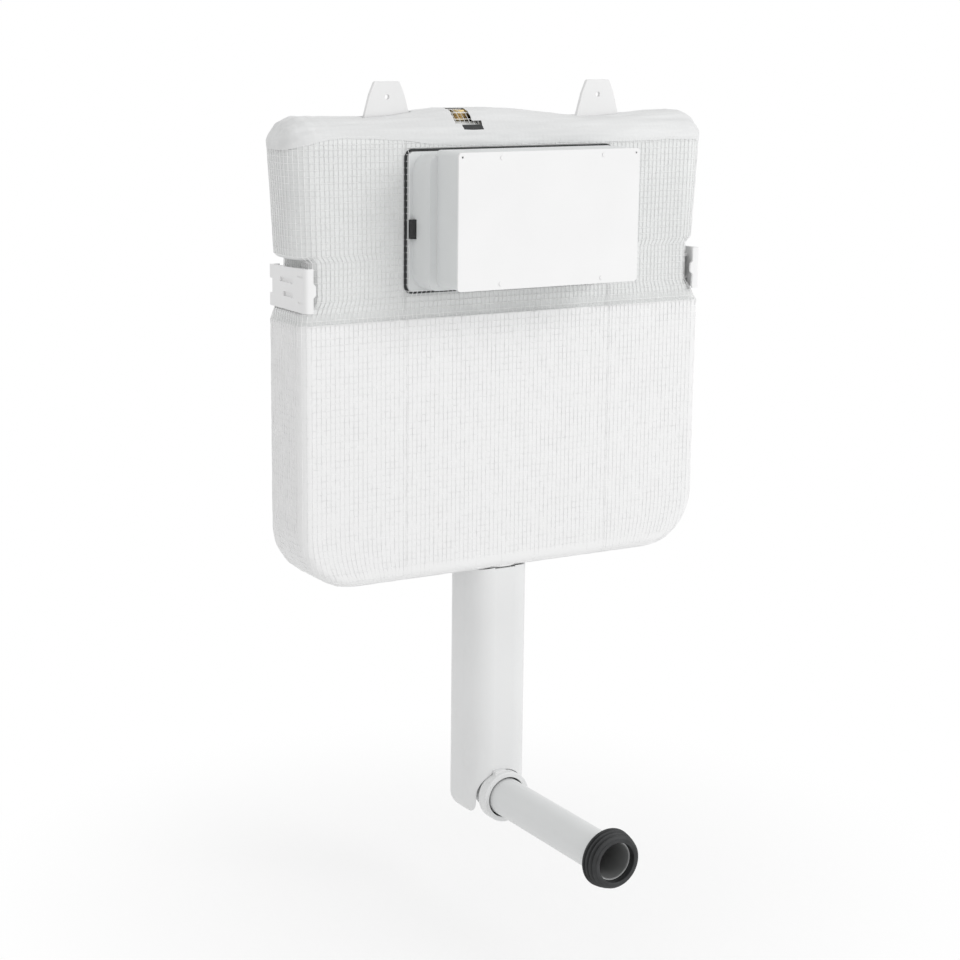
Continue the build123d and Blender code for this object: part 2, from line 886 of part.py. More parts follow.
def cover_pins():
    """The four pins that hold the lid, as separate solids."""
    front = box_front_y - cover_thickness
    pins = []
    for at in pin_places:
        head = bar_y(pin_head_radius, (front - pin_head_height, front), at)
        pins.append(head + bar_y(pin_radius, (front, box_front_y + pin_length), at))
    return Compound(children=pins)


def latch():
    """The right latch: a ribbed slide with a tongue in the flange's slot."""
    face_y = flange_front_y - latch_depth
    z = along(latch_mid_z, latch_height / 2)
    body = block((latch_inner_x, flange_width / 2), (face_y, flange_front_y - seat_gap), z)
    body += tongue_slot(0) & block((0, flange_width), (face_y, flange_back_y), z)
    step = latch_width / (latch_rib_count + 1)
    for n in range(latch_rib_count):
        body += block(
            along(latch_inner_x + step * (n + 1), latch_rib_thickness / 2),
            (face_y - latch_rib_height, face_y),
            along(latch_mid_z, latch_height / 2 - latch_rib_thickness),
        )
    return body


def actuator_frame():
    """The crossbar in the sleeve with two cheeks and a middle web for the axle."""
    bar_top = sleeve_top_z - crossbar_drop
    y = along(axle_y, crossbar_depth / 2)
    frame = block(along(0, sleeve_inner_width / 2 - seat_gap), y, (bar_top - crossbar_height, bar_top))
    cheek_y = along(axle_y, cheek_depth / 2)
    cheek_z = (bar_top - cheek_height, bar_top)
    cheek_x = lever_spacing / 2 + lever_width / 2 + slide_gap
    frame += block((cheek_x, cheek_x + cheek_thickness), cheek_y, cheek_z)
    frame += block((-cheek_x - cheek_thickness, -cheek_x), cheek_y, cheek_z)
    frame += block(along(0, web_thickness / 2), cheek_y, cheek_z)
    reach = cheek_x + cheek_thickness + overrun
    return frame - bar_x(axle_radius + shaft_gap, (-reach, reach), (axle_y, axle_z))


def lever_axle():
    """The pin that both levers turn on."""
    reach = lever_spacing / 2 + lever_width / 2 + slide_gap + cheek_thickness
    return bar_x(axle_radius, (-reach, reach), (axle_y, axle_z))


def flush_lever():
    """The right lever: a push arm down in front and a lift arm to the back."""
    mid_x = lever_spacing / 2
    x = along(mid_x, lever_width / 2)
    low_z = axle_z - lever_push_length
    lever = bar_x(lever_hub_radius, x, (axle_y, axle_z))
    lever += block(x, along(axle_y, lever_push_thickness / 2), (low_z, axle_z))
    pad_y = axle_y - lever_push_thickness / 2
    lever += block(x, (pad_y - lever_pad_thickness, pad_y), (low_z, low_z + lever_pad_height))
    arm_x = along(mid_x, lever_arm_width / 2)
    lever += block(arm_x, (axle_y, lever_tip_y), along(axle_z, lever_arm_thickness / 2))
    lever += bar_x(lever_tip_radius, arm_x, (lever_tip_y, axle_z))
    return lever - bar_x(axle_radius + shaft_gap, (x[0] - overrun, x[1] + overrun), (axle_y, axle_z))


def lift_rod(low_z):
    """The right lift rod: a flat strip with a window at the top and a head at the bottom."""
    mid_x = lever_spacing / 2
    y = along(lever_tip_y, rod_thickness / 2)
    loop_z = along(axle_z, window_height / 2 + window_border)
    rod = block(along(mid_x, window_width / 2 + window_border), y, loop_z)
    rod += block(along(mid_x, rod_width / 2), y, (low_z, axle_z))
    head_y = along(lever_tip_y, rod_thickness / 2 + head_overhang)
    rod += block(along(mid_x, rod_width / 2 + head_overhang), head_y, (low_z, low_z + head_height))
    return rod - block(
        along(mid_x, window_width / 2),
        (y[0] - overrun, y[1] + overrun),
        along(axle_z, window_height / 2),
    )


def rod_lug(top_z, root_radius):
    """A lug beside the overflow tube that the right rod passes through."""
    mid_x = lever_spacing / 2
    half = rod_width / 2 + lug_border
    lug = block(
        (root_radius - lug_border, mid_x + half),
        along(lever_tip_y, rod_thickness / 2 + lug_border),
        (top_z - lug_height, top_z),
    )
    return lug - block(
        along(mid_x, rod_width / 2 + seat_gap),
        along(lever_tip_y, rod_thickness / 2 + seat_gap),
        (top_z - lug_height - overrun, top_z + overrun),
    )


def full_lift_rod():
    """The rod between the full-flush lever and the overflow tube's lug."""
    return lift_rod(tube_lug_top_z - lug_height - seat_gap - head_height)


def half_lift_rod():
    """The rod between the half-flush lever and the half-flush float's lug."""
    return mirrored(lift_rod(half_float_top_z - lug_height - seat_gap - head_height))


def valve_seat():
    """The outlet fitting: flange, seat lip and the threaded spigot through the tank's floor."""
    flange_z = (tank_floor_z + seat_washer_thickness, seat_top_z)
    seat = post(seat_flange_radius, flange_z, (0, mid_y))
    seat += post(spigot_radius, (spigot_end_z, flange_z[0]), (0, mid_y))
    seat += post(seat_lip_radius, (seat_top_z, seat_lip_z), (0, mid_y))
    return seat - post(spigot_bore, (spigot_end_z - overrun, seat_lip_z + overrun), (0, mid_y))


def seat_washer():
    """The rubber washer between the fitting and the tank's floor."""
    z = (tank_floor_z, tank_floor_z + seat_washer_thickness)
    ring = post(seat_flange_radius - seat_gap, z, (0, mid_y))
    return ring - post(spigot_radius + seat_gap, (z[0] - overrun, z[1] + overrun), (0, mid_y))


def grip_nut(radius, z, bore):
    """A round nut with grip ribs, between two Z values."""
    nut = post(radius, z, (0, mid_y))
    for n in range(grip_count):
        turn = math.radians(n * 360 / grip_count)
        at = (radius * math.cos(turn), mid_y + radius * math.sin(turn))
        nut += post(grip_radius, z, at)
    return nut - post(bore, (z[0] - overrun, z[1] + overrun), (0, mid_y))


def seat_nut():
    """The nut that holds the outlet fitting from below the tank."""
    z = (lower_low_z - seat_nut_height, lower_low_z)
    return grip_nut(seat_nut_radius, z, spigot_radius + shaft_gap)


def valve_basket():
    """The cage round the flush valve, with inflow windows and a guide in its roof."""
    basket = post(basket_radius, (seat_top_z, basket_top_z), (0, mid_y))
    basket -= post(
        basket_radius - basket_wall, (seat_top_z - overrun, basket_top_z - basket_roof), (0, mid_y)
    )
    guide_z = (basket_top_z - basket_roof - overrun, basket_top_z + overrun)
    basket -= post(tube_radius + slide_gap, guide_z, (0, mid_y))
    reach = basket_radius + overrun
    low = seat_top_z + basket_sill
    for height, width, start in (
        (basket_window_height, basket_window_width, low),
        (basket_slot_height, basket_slot_width, low + basket_slot_rise),
    ):
        z = (start, start + height)
        basket -= block(along(0, reach), along(mid_y, width / 2), z)
        basket -= block(along(0, width / 2), along(mid_y, reach), z)
    return basket


def overflow_tube():
    """The moving valve body: overflow tube, seal plate and the lug for the full-flush rod."""
    at = (0, mid_y)
    tube = post(tube_radius, (disc_low_z, tube_top_z), at)
    tube += post(disc_radius, (disc_low_z, disc_low_z + disc_thickness), at)
    tube += rod_lug(tube_lug_top_z, tube_radius)
    return tube - post(tube_bore, (disc_low_z - overrun, tube_top_z + overrun), at)


def flush_seal():
    """The rubber disc that closes the valve seat."""
    z = (seal_low_z, disc_low_z)
    ring = post(disc_radius - seat_gap, z, (0, mid_y))
    return ring - post(tube_bore, (z[0] - overrun, z[1] + overrun), (0, mid_y))


def half_flush_float():
    """The sleeve float that ends a half flush, sliding on the overflow tube."""
    z = (half_float_low_z, half_float_top_z)
    cup = post(half_float_radius, z, (0, mid_y))
    lug = mirrored(rod_lug(half_float_top_z, half_float_radius))
    rod_path = block(
        along(-lever_spacing / 2, rod_width / 2 + head_overhang + seat_gap),
        along(lever_tip_y, rod_thickness / 2 + head_overhang + seat_gap),
        (z[0] - overrun, z[1] - lug_height),
    )
    upper_path = block(
        along(-lever_spacing / 2, rod_width / 2 + seat_gap),
        along(lever_tip_y, rod_thickness / 2 + seat_gap),
        (z[1] - lug_height - overrun, z[1] + overrun),
    )
    cup = cup + lug - rod_path - upper_path
    return cup - post(tube_radius + slide_gap, (z[0] - overrun, z[1] + overrun), (0, mid_y))


def inlet_tail():
    """The brass half-inch tail through the tank's top."""
    at = (inlet_x, mid_y)
    top = tank_top_z + inlet_rise
    tail = post(inlet_radius, (inlet_tail_low_z, top), at)
    low = tank_top_z + inlet_washer_thickness
    tail += post(inlet_flange_radius, (low, low + inlet_flange_thickness), at)
    return tail - post(inlet_bore, (inlet_tail_low_z - overrun, top + overrun), at)


def inlet_washer():
    """The rubber washer under the tail's flange."""
    z = (tank_top_z, tank_top_z + inlet_washer_thickness)
    ring = post(inlet_flange_radius, z, (inlet_x, mid_y))
    return ring - post(inlet_radius + seat_gap, (z[0] - overrun, z[1] + overrun), (inlet_x, mid_y))


def inlet_nut():
    """The hexagon nut on the tail inside the tank."""
    z = tank_roof_z - inlet_nut_height
    hexagon = Pos(inlet_x, mid_y, z) * RegularPolygon(inlet_nut_radius, inlet_nut_sides)
    nut = extrude(hexagon, amount=inlet_nut_height - inlet_nut_face_height)
    nut += post(inlet_nut_face_radius, (z, tank_roof_z), (inlet_x, mid_y))
    bore = post(inlet_radius + shaft_gap, (z - overrun, tank_roof_z + overrun), (inlet_x, mid_y))
    return nut - bore


def stop_valve():
    """The stop valve under the tail: body, hose nipple to the left, spindle to the front."""
    at = (inlet_x, mid_y)
    body = post(stop_body_radius, (stop_top_z - stop_body_height, stop_top_z), at)
    body += bar_x(stop_nipple_radius, (hose_start_x, inlet_x), (mid_y, stop_z))
    body += bar_y(stop_spindle_radius, (knob_y - knob_depth, mid_y), (inlet_x, stop_z))
    socket = post(inlet_radius + shaft_gap, (inlet_tail_low_z - seat_gap, stop_top_z + overrun), at)
    return body - socket


def stop_knob():
    """The fluted knob on the stop valve's spindle."""
    at = (inlet_x, stop_z)
    y = (knob_y - knob_depth, knob_y)
    knob = bar_y(knob_radius, y, at)
    for n in range(knob_flute_count):
        turn = math.radians(n * 360 / knob_flute_count)
        flute = (at[0] + knob_radius * math.cos(turn), at[1] + knob_radius * math.sin(turn))
        knob -= bar_y(knob_flute_radius, (y[0] - overrun, y[1] + overrun), flute)
    return knob - bar_y(stop_spindle_radius + shaft_gap, (y[0] - overrun, y[1] + overrun), at)


def supply_hose():
    """The braided hose from the stop valve to the fill valve, one bend between two runs."""
    start = (hose_start_x, mid_y, stop_z)
    corner = (fill_x, mid_y, stop_z)
    end = (fill_x, mid_y, fill_top_z + fill_nipple_length)
    bend = hose_bend_share * min(abs(start[0] - corner[0]), abs(end[2] - corner[2]))
    path = FilletPolyline(start, corner, end, radius=bend)
    hose = sweep(Plane(start, z_dir=(-1, 0, 0)) * Circle(hose_radius), path=path)
    print("hose length", round(path.length, 1), "bend radius", round(bend, 1))
    return hose


def hose_nuts():
    """The union nut at each end of the hose, as two solids."""
    z = stop_z
    start = hose_start_x + hose_nut_length / 2
    first = bar_x(hose_nut_radius, (start - hose_nut_length, start), (mid_y, z))
    first -= bar_x(
        stop_nipple_radius + shaft_gap, (hose_start_x, start + overrun), (mid_y, z)
    )
    first -= bar_x(hose_radius + shaft_gap, (start - hose_nut_length - overrun, hose_start_x), (mid_y, z))
    end = fill_top_z + fill_nipple_length
    at = (fill_x, mid_y)
    second = post(hose_nut_radius, along(end, hose_nut_length / 2), at)
    second -= post(hose_radius + shaft_gap, (end, end + hose_nut_length), at)
    second -= post(fill_nipple_radius + shaft_gap, (end - hose_nut_length, end), at)
    return Compound(children=[first, second])


def fill_valve():
    """The fill valve: inlet nipple, head, shank and foot."""
    at = (fill_x, mid_y)
    valve = post(fill_head_radius, (fill_head_low_z, fill_top_z), at)
    valve += post(fill_nipple_radius, (fill_top_z, fill_top_z + fill_nipple_length), at)
    valve += post(fill_shank_radius, (shank_low_z, fill_head_low_z), at)
    return valve + post(fill_foot_radius, (shank_low_z, shank_low_z + fill_foot_height), at)


def fill_bracket():
    """The ring round the fill valve's head, with its arm to the frame and an ear for the lever."""
    at = (fill_x, mid_y)
    top = fill_top_z - ring_drop
    z = (top - ring_height, top)
    outer = fill_head_radius + seat_gap + ring_wall
    bracket = post(outer, z, at)
    arm_y = (mid_y - outer + bracket_arm_inset, mid_y - outer + bracket_arm_inset + bracket_arm_thickness)
    bracket += block((fill_x, -sleeve_width / 2 - seat_gap), arm_y, z)
    ear_y = float_bar_y - float_lever_thickness / 2 - slide_gap
    bracket += block(
        (fill_x, float_pivot_x + float_hub_radius),
        (ear_y - float_lever_thickness, ear_y),
        (z[0], float_pivot_z + float_hub_radius),
    )
    bracket -= post(fill_head_radius + seat_gap, (z[0] - overrun, float_pivot_z + float_ear_height), at)
    pin_y = (ear_y - float_lever_thickness, float_bar_y + float_lever_thickness / 2)
    return bracket + bar_y(float_pin_radius, pin_y, (float_pivot_x, float_pivot_z))


def float_cup():
    """The float on the fill valve's shank, with the thin rod up to the lever."""
    depth = along(mid_y, float_depth / 2)
    face = plan(float_width, depth, float_radius, float_low_z)
    cup = Pos(fill_x, 0, 0) * extrude(face, amount=float_height)
    cup -= post(
        fill_shank_radius + slide_gap, (float_low_z - overrun, float_top_z + overrun), (fill_x, mid_y)
    )
    at = (float_tip_x, float_bar_y)
    top = float_pivot_z + float_bead_spread + float_bead_height
    cup += post(float_rod_radius, (float_low_z + float_height / 2, top), at)
    for side in (-1, 1):
        z = float_pivot_z + side * float_bead_spread
        cup += post(float_bead_radius, (z, z + side * float_bead_height), at)
    return cup


def float_lever():
    """The lever that the float turns, with a forked end round the float's rod."""
    z = along(float_pivot_z, float_lever_height / 2)
    y = along(float_bar_y, float_lever_thickness / 2)
    fork_x = float_tip_x + fork_length / 2
    lever = block((fork_x, float_pivot_x), y, z)
    lever += bar_y(float_hub_radius, y, (float_pivot_x, float_pivot_z))
    lever += block(
        (fork_x - fork_length, fork_x + fork_slot),
        along(float_bar_y, fork_width / 2),
        along(float_pivot_z, float_lever_thickness / 2),
    )
    lever -= block(
        (fork_x - fork_length - overrun, fork_x),
        along(float_bar_y, fork_slot / 2),
        along(float_pivot_z, float_lever_height),
    )
    hole = (y[0] - overrun, y[1] + overrun)
    return lever - bar_y(float_pin_radius + shaft_gap, hole, (float_pivot_x, float_pivot_z))


def bend_run(radius):
    """The flush bend's path at one radius: down, round the turn and forward."""
    drop = post(radius, (turn_z, bend_top_z), (0, mid_y))
    section = Pos(0, mid_y, turn_z) * Circle(radius)
    turn = revolve(section, Axis((0, turn_y, turn_z), (1, 0, 0)), revolution_arc=-90)
    return drop + turn


def flush_bend():
    """The flush pipe with its flared top, tight turn and forward socket."""
    bend = bend_run(bend_radius)
    bend += post(bend_radius + bend_flare, (bend_top_z - bend_flare_height, bend_top_z), (0, mid_y))
    at = (0, outlet_z)
    bend += bar_y(socket_bore + socket_wall, (socket_end_y, turn_y), at)
    bend -= bend_run(bend_bore)
    bend -= post(bend_bore, (bend_top_z - overrun, bend_top_z + overrun), (0, mid_y))
    return bend - bar_y(socket_bore, (socket_end_y - overrun, turn_y), at)


def bend_seal():
    """The rubber ring between the spigot and the flush bend."""
    ring = post(spigot_radius, (bend_top_z, spigot_end_z), (0, mid_y))
    return ring - post(bend_bore, (bend_top_z - overrun, spigot_end_z + overrun), (0, mid_y))


def bend_nut():
    """The union nut that pulls the flush bend up to the spigot."""
    top = lower_low_z - seat_nut_height - bend_nut_drop
    z = (top - bend_nut_height, top)
    nut = grip_nut(bend_nut_radius, z, bend_radius + seat_gap)
    nut -= post(spigot_radius + shaft_gap, (spigot_end_z, top + overrun), (0, mid_y))
    flare = bend_radius + bend_flare + seat_gap
    return nut - post(flare, (bend_top_z - bend_flare_height - seat_gap, spigot_end_z), (0, mid_y))


@cache
def casing_form(shrink):
    """The drop casing as a solid, rounded at the toe."""
    depth = (casing_front_y + shrink, casing_back_y - shrink)
    low = casing_low_z + shrink
    top = lower_low_z + lower_edge_radius
    face = plan(casing_width - 2 * shrink, depth, casing_radius - shrink, low)
    body = extrude(face, amount=top - low)
    return fillet(body.faces().sort_by(Axis.Z)[0].edges(), casing_toe_radius - shrink)


def arch_cut(grow):
    """The casing's lower openings: the arch round the collar and the low slot behind it."""
    half = casing_arch_radius + grow
    y = (casing_front_y - overrun, casing_front_y + casing_arch_depth)
    arch = bar_y(half, y, (0, outlet_z))
    arch += block(along(0, half), y, (casing_low_z - overrun, outlet_z))
    slot = (casing_low_z - overrun, casing_low_z + casing_notch_rise)
    return arch + block(along(0, half), (y[0], casing_back_y + overrun), slot)


def casing_shell():
    """Both halves of the drop casing as one hollow form, open under the tank and at the arch."""
    shell = casing_form(0) - casing_form(casing_wall)
    shell -= tank_form(net_reach + seat_gap)
    return shell - arch_cut(0)


def seam_space(y0, y1):
    """All of the casing between two Y values."""
    z = (casing_low_z - overrun, lower_low_z + lower_edge_radius + overrun)
    return block(along(0, casing_width), (y0, y1), z)


def casing_front():
    """The front half of the drop casing, with a tongue into the rear half."""
    front = casing_shell() & seam_space(casing_front_y - casing_depth, casing_seam_y)
    tongue = casing_form(casing_wall - casing_tongue) - casing_form(casing_wall)
    tongue -= tank_form(net_reach + seat_gap)
    tongue = tongue & seam_space(casing_seam_y - casing_wall, casing_seam_y + casing_tongue_depth)
    return front + tongue


def casing_rear():
    """The rear half of the drop casing, rebated for the tongue."""
    rear = casing_shell() & seam_space(casing_seam_y, casing_back_y + overrun)
    groove = casing_form(casing_wall - casing_tongue - seat_gap)
    groove_y = (casing_seam_y - overrun, casing_seam_y + casing_tongue_depth + seat_gap)
    return rear - (groove & seam_space(*groove_y))


def outlet_collar():
    """The ring that holds the lip seal on the socket, with a small nib on top."""
    at = (0, outlet_z)
    back = casing_front_y + casing_wall
    collar = bar_y(collar_radius, (collar_front_y, back), at)
    collar = fillet(collar.edges().group_by(Axis.Y)[0], collar_edge_radius)
    nib_z = outlet_z + collar_radius
    nib = block(
        along(-nib_shift, nib_width / 2),
        (casing_front_y - nib_length, casing_front_y - seat_gap),
        (nib_z - 2 * nib_height, nib_z + nib_height / 2),
    )
    collar += nib
    collar -= bar_y(socket_bore + socket_wall + seat_gap, (collar_front_y + collar_lip, back + overrun), at)
    return collar - bar_y(collar_front_bore, (collar_front_y - overrun, back), at)


def collar_lip_seal():
    """The dark rubber ring that wipes the outlet pipe in the collar."""
    at = (0, outlet_z)
    y = (socket_end_y - lip_seal_thickness, socket_end_y)
    ring = bar_y(socket_bore + socket_wall, y, at)
    return ring - bar_y(pipe_radius + slide_gap, (y[0] - overrun, y[1] + overrun), at)


def outlet_pipe():
    """The light grey horizontal flush pipe."""
    at = (0, outlet_z)
    y = (pipe_end_y, turn_y - pipe_stop_gap)
    pipe = bar_y(pipe_radius, y, at)
    return pipe - bar_y(pipe_bore, (y[0] - overrun, y[1] + overrun), at)


def pan_seal():
    """The ribbed rubber seal on the pipe's end, one lip behind another."""
    at = (0, outlet_z)
    seal = bar_y(pan_seal_core, (pan_seal_front_y, pan_seal_back_y), at)
    step = pan_seal_length / len(pan_seal_lip_radii)
    for n, radius in enumerate(pan_seal_lip_radii):
        back = pan_seal_back_y - n * step
        seal += bar_y(radius, (back - step * pan_seal_lip_share, back), at)
    bore = pipe_radius + shaft_gap
    return seal - bar_y(bore, (pan_seal_front_y - overrun, pan_seal_back_y + overrun), at)


pieces = {
    "tank_body": tank_body,
    "plaster_net": plaster_net,
    "hanger_bracket_right": hanger_bracket,
    "hanger_bracket_left": lambda: mirrored(hanger_bracket()),
    "side_clip_right": side_clip,
    "side_clip_left": lambda: mirrored(side_clip()),
    "blanking_grommet": blanking_grommet,
    "access_gasket": access_gasket,
    "access_frame": access_frame,
    "splash_plate": splash_plate,
    "protection_box": protection_box,
    "cover_plate": cover_plate,
    "cover_pins": cover_pins,
    "latch_right": latch,
    "latch_left": lambda: mirrored(latch()),
    "actuator_frame": actuator_frame,
    "lever_axle": lever_axle,
    "full_flush_lever": flush_lever,
    "half_flush_lever": lambda: mirrored(flush_lever()),
    "full_lift_rod": full_lift_rod,
    "half_lift_rod": half_lift_rod,
    "valve_seat": valve_seat,
    "seat_washer": seat_washer,
    "seat_nut": seat_nut,
    "valve_basket": valve_basket,
    "overflow_tube": overflow_tube,
    "flush_seal": flush_seal,
    "half_flush_float": half_flush_float,
    "inlet_tail": inlet_tail,
    "inlet_washer": inlet_washer,
    "inlet_nut": inlet_nut,
    "stop_valve": stop_valve,
    "stop_knob": stop_knob,
    "supply_hose": supply_hose,
    "hose_nuts": hose_nuts,
    "fill_valve": fill_valve,
    "fill_bracket": fill_bracket,
    "float_cup": float_cup,
    "float_lever": float_lever,
    "flush_bend": flush_bend,
    "bend_seal": bend_seal,
    "bend_nut": bend_nut,
    "casing_front": casing_front,
    "casing_rear": casing_rear,
    "outlet_collar": outlet_collar,
    "collar_lip_seal": collar_lip_seal,
    "outlet_pipe": outlet_pipe,
    "pan_seal": pan_seal,
}

for name, make in pieces.items():
    export_step(make(), f"parts/{name}.step")
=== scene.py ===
"""Looks, lights and camera for a slim concealed toilet cistern.

Laid out as an add-on and run as a script. Sizes are in metres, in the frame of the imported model:
+X to the right as seen from the room, +Y into the wall, +Z up, origin midway between the hanger holes.
"""

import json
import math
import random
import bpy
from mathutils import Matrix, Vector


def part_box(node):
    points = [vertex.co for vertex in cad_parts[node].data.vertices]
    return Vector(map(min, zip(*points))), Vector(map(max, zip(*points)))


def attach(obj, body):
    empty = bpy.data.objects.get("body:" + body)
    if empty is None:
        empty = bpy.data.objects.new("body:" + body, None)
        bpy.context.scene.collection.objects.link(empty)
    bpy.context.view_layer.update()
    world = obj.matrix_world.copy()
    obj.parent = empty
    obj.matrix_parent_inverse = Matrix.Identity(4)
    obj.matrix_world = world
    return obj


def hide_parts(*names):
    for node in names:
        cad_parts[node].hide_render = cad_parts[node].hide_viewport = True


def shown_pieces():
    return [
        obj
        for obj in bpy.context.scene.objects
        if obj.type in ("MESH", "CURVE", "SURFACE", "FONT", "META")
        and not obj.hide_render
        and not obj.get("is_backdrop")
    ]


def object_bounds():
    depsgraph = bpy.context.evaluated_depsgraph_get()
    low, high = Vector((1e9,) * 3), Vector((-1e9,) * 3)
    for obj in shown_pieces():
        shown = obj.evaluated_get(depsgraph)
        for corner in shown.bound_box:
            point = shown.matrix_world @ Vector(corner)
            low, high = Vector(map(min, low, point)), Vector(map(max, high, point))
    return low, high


bl_info = {
    "name": "Concealed cistern looks",
    "version": (1, 0, 0),
    "blender": (4, 5, 0),
    "location": "View3D > Sidebar > Cistern",
    "description": "Net, seals, mouldings, finishes, lights and camera of a concealed cistern",
    "category": "Object",
}

import bmesh
import bpy
from bpy.props import FloatProperty, FloatVectorProperty, IntProperty, PointerProperty
from mathutils import Matrix, Vector, noise

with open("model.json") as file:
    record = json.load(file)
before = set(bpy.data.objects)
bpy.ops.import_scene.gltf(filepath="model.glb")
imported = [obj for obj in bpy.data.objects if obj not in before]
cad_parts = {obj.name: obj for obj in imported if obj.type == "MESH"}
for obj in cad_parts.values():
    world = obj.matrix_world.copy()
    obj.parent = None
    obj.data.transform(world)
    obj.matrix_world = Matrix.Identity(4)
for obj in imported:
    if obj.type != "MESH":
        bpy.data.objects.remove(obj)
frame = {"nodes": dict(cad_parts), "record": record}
CAD_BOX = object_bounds()

MM = 0.001
TANK_LOW, TANK_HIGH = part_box("tank_body")
FLANGE_LOW, FLANGE_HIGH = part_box("access_frame")
GASKET_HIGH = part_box("access_gasket")[1]
BRACKET_LOW, BRACKET_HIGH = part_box("hanger_bracket_right")
TAIL_LOW, TAIL_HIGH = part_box("inlet_tail")
SEAL_LOW, SEAL_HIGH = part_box("pan_seal")
PIPE_LOW, PIPE_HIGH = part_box("outlet_pipe")
WASHER_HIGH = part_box("inlet_washer")[1]
LATCH_LOW, LATCH_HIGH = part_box("latch_right")
GROMMET_LOW, GROMMET_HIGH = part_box("blanking_grommet")
TANK_MIDDLE_Y = (TANK_LOW.y + TANK_HIGH.y) / 2


def length(name, words, default):
    """A length that a user may change."""
    return FloatProperty(name=name, description=words, default=default, unit="LENGTH", precision=5)


def colour(name, words, default):
    """A colour that a user may change."""
    return FloatVectorProperty(
        name=name, description=words, default=default, subtype="COLOR", size=3, min=0.0, max=1.0
    )


class CisternSizes(bpy.types.PropertyGroup):
    """Sizes of the pieces that are modelled here."""

    cell_width: length("Net cell width", "Spacing of the net's upright strands", 5.0 * MM)
    cell_height: length("Net cell height", "Spacing of the net's level strands", 6.3 * MM)
    strand: length("Net strand", "Thickness of a strand of the net", 0.85 * MM)
    low_strand_share: FloatProperty(
        name="Lower strand share", description="Thickness of the lower body's strands", default=0.62
    )
    net_lift: length("Net lift", "Distance from the tank to the middle of the net", 0.62 * MM)
    net_stray: length("Net stray", "How far the strands wander from their lines", 0.3 * MM)
    edge: length("Moulded edge", "Radius of a moulded edge", 0.5 * MM)
    thread_pitch: length("Thread pitch", "Pitch of the inlet tail's thread", 1.814 * MM)
    thread_depth: length("Thread depth", "Depth of the inlet tail's thread", 1.1 * MM)
    lathe_steps: IntProperty(name="Lathe steps", description="Steps in a turned piece", default=96, min=12)


class CisternColours(bpy.types.PropertyGroup):
    """Colours of the finishes."""

    tank: colour("Tank", "Blow-moulded tank above its step", (0.80, 0.81, 0.805))
    tank_low: colour("Lower tank", "Blow-moulded tank below its step", (0.87, 0.87, 0.87))
    net: colour("Net", "Glass-fibre plaster net", (0.93, 0.93, 0.93))
    fold: colour("Net fold", "Doubled net over the tank's top", (0.79, 0.795, 0.795))
    bracket: colour("Bracket", "Hanger brackets", (0.84, 0.84, 0.84))
    clip: colour("Clip", "Side clips", (0.88, 0.88, 0.88))
    flange: colour("Frame", "Access frame", (0.74, 0.755, 0.755))
    box: colour("Box", "Protection box", (0.75, 0.765, 0.765))
    cover: colour("Cover", "Cover plate", (0.885, 0.885, 0.885))
    casing: colour("Casing", "Drop casing and collar", (0.8, 0.805, 0.805))
    pipe: colour("Pipe", "Outlet pipe", (0.73, 0.74, 0.74))
    rubber: colour("Rubber", "Black rubber", (0.019, 0.02, 0.021))
    black: colour("Black", "Black moulded plastic", (0.025, 0.025, 0.026))
    brass: colour("Brass", "Turned brass", (0.82, 0.64, 0.32))
    steel: colour("Steel", "Stainless steel", (0.6, 0.61, 0.62))
    white: colour("White", "Inner white plastic", (0.8, 0.81, 0.81))
    grey: colour("Grey", "Inner grey plastic", (0.17, 0.185, 0.2))
    blue: colour("Blue", "Inner blue plastic", (0.02, 0.07, 0.24))


# Modelling helpers

COPY_MERGE, TURNED_MERGE = 0.005 * MM, 0.002 * MM
FLAT_DEGREES, EDGE_DEGREES = 0.8, 38


def activate(piece):
    """Selects one object alone and makes it active."""
    bpy.ops.object.select_all(action="DESELECT")
    piece.select_set(True)
    bpy.context.view_layer.objects.active = piece


def apply_modifiers(piece):
    """Applies every modifier of a piece in order."""
    activate(piece)
    for modifier in list(piece.modifiers):
        bpy.ops.object.modifier_apply(modifier=modifier.name)


def smooth(piece, degrees=35):
    """Smooth shading that keeps the edges sharper than an angle."""
    activate(piece)
    bpy.ops.object.shade_smooth_by_angle(angle=math.radians(degrees))


def in_edit_mode(piece, *steps):
    """Runs edit-mode steps on a piece with everything selected."""
    activate(piece)
    bpy.ops.object.mode_set(mode="EDIT")
    bpy.ops.mesh.select_all(action="SELECT")
    for step in steps:
        step()
    bpy.ops.object.mode_set(mode="OBJECT")


def ride_and_name(piece, body, slot, *nodes):
    """Puts a finished piece on its body in place of its nodes; its slot is not used."""
    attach(piece, body)
    if nodes:
        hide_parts(*nodes)


def rounded_copy(node, width, name, body, slot, segments=2):
    """A moulded piece with its edges rounded, in place of its node."""
    source = frame["nodes"][node]
    piece = bpy.data.objects.new(name, source.data.copy())
    bpy.context.collection.objects.link(piece)
    piece.data.materials.clear()
    in_edit_mode(
        piece,
        lambda: bpy.ops.mesh.remove_doubles(threshold=COPY_MERGE),
        lambda: bpy.ops.mesh.dissolve_limited(angle_limit=math.radians(FLAT_DEGREES)),
    )
    bevel = piece.modifiers.new("Round", "BEVEL")
    bevel.width = width
    bevel.segments = segments
    bevel.limit_method = "ANGLE"
    bevel.angle_limit = math.radians(EDGE_DEGREES)
    bevel.use_clamp_overlap = True
    apply_modifiers(piece)
    smooth(piece)
    weigh = piece.modifiers.new("Flat faces", "WEIGHTED_NORMAL")
    weigh.keep_sharp = True
    apply_modifiers(piece)
    ride_and_name(piece, body, slot, node)
    return piece


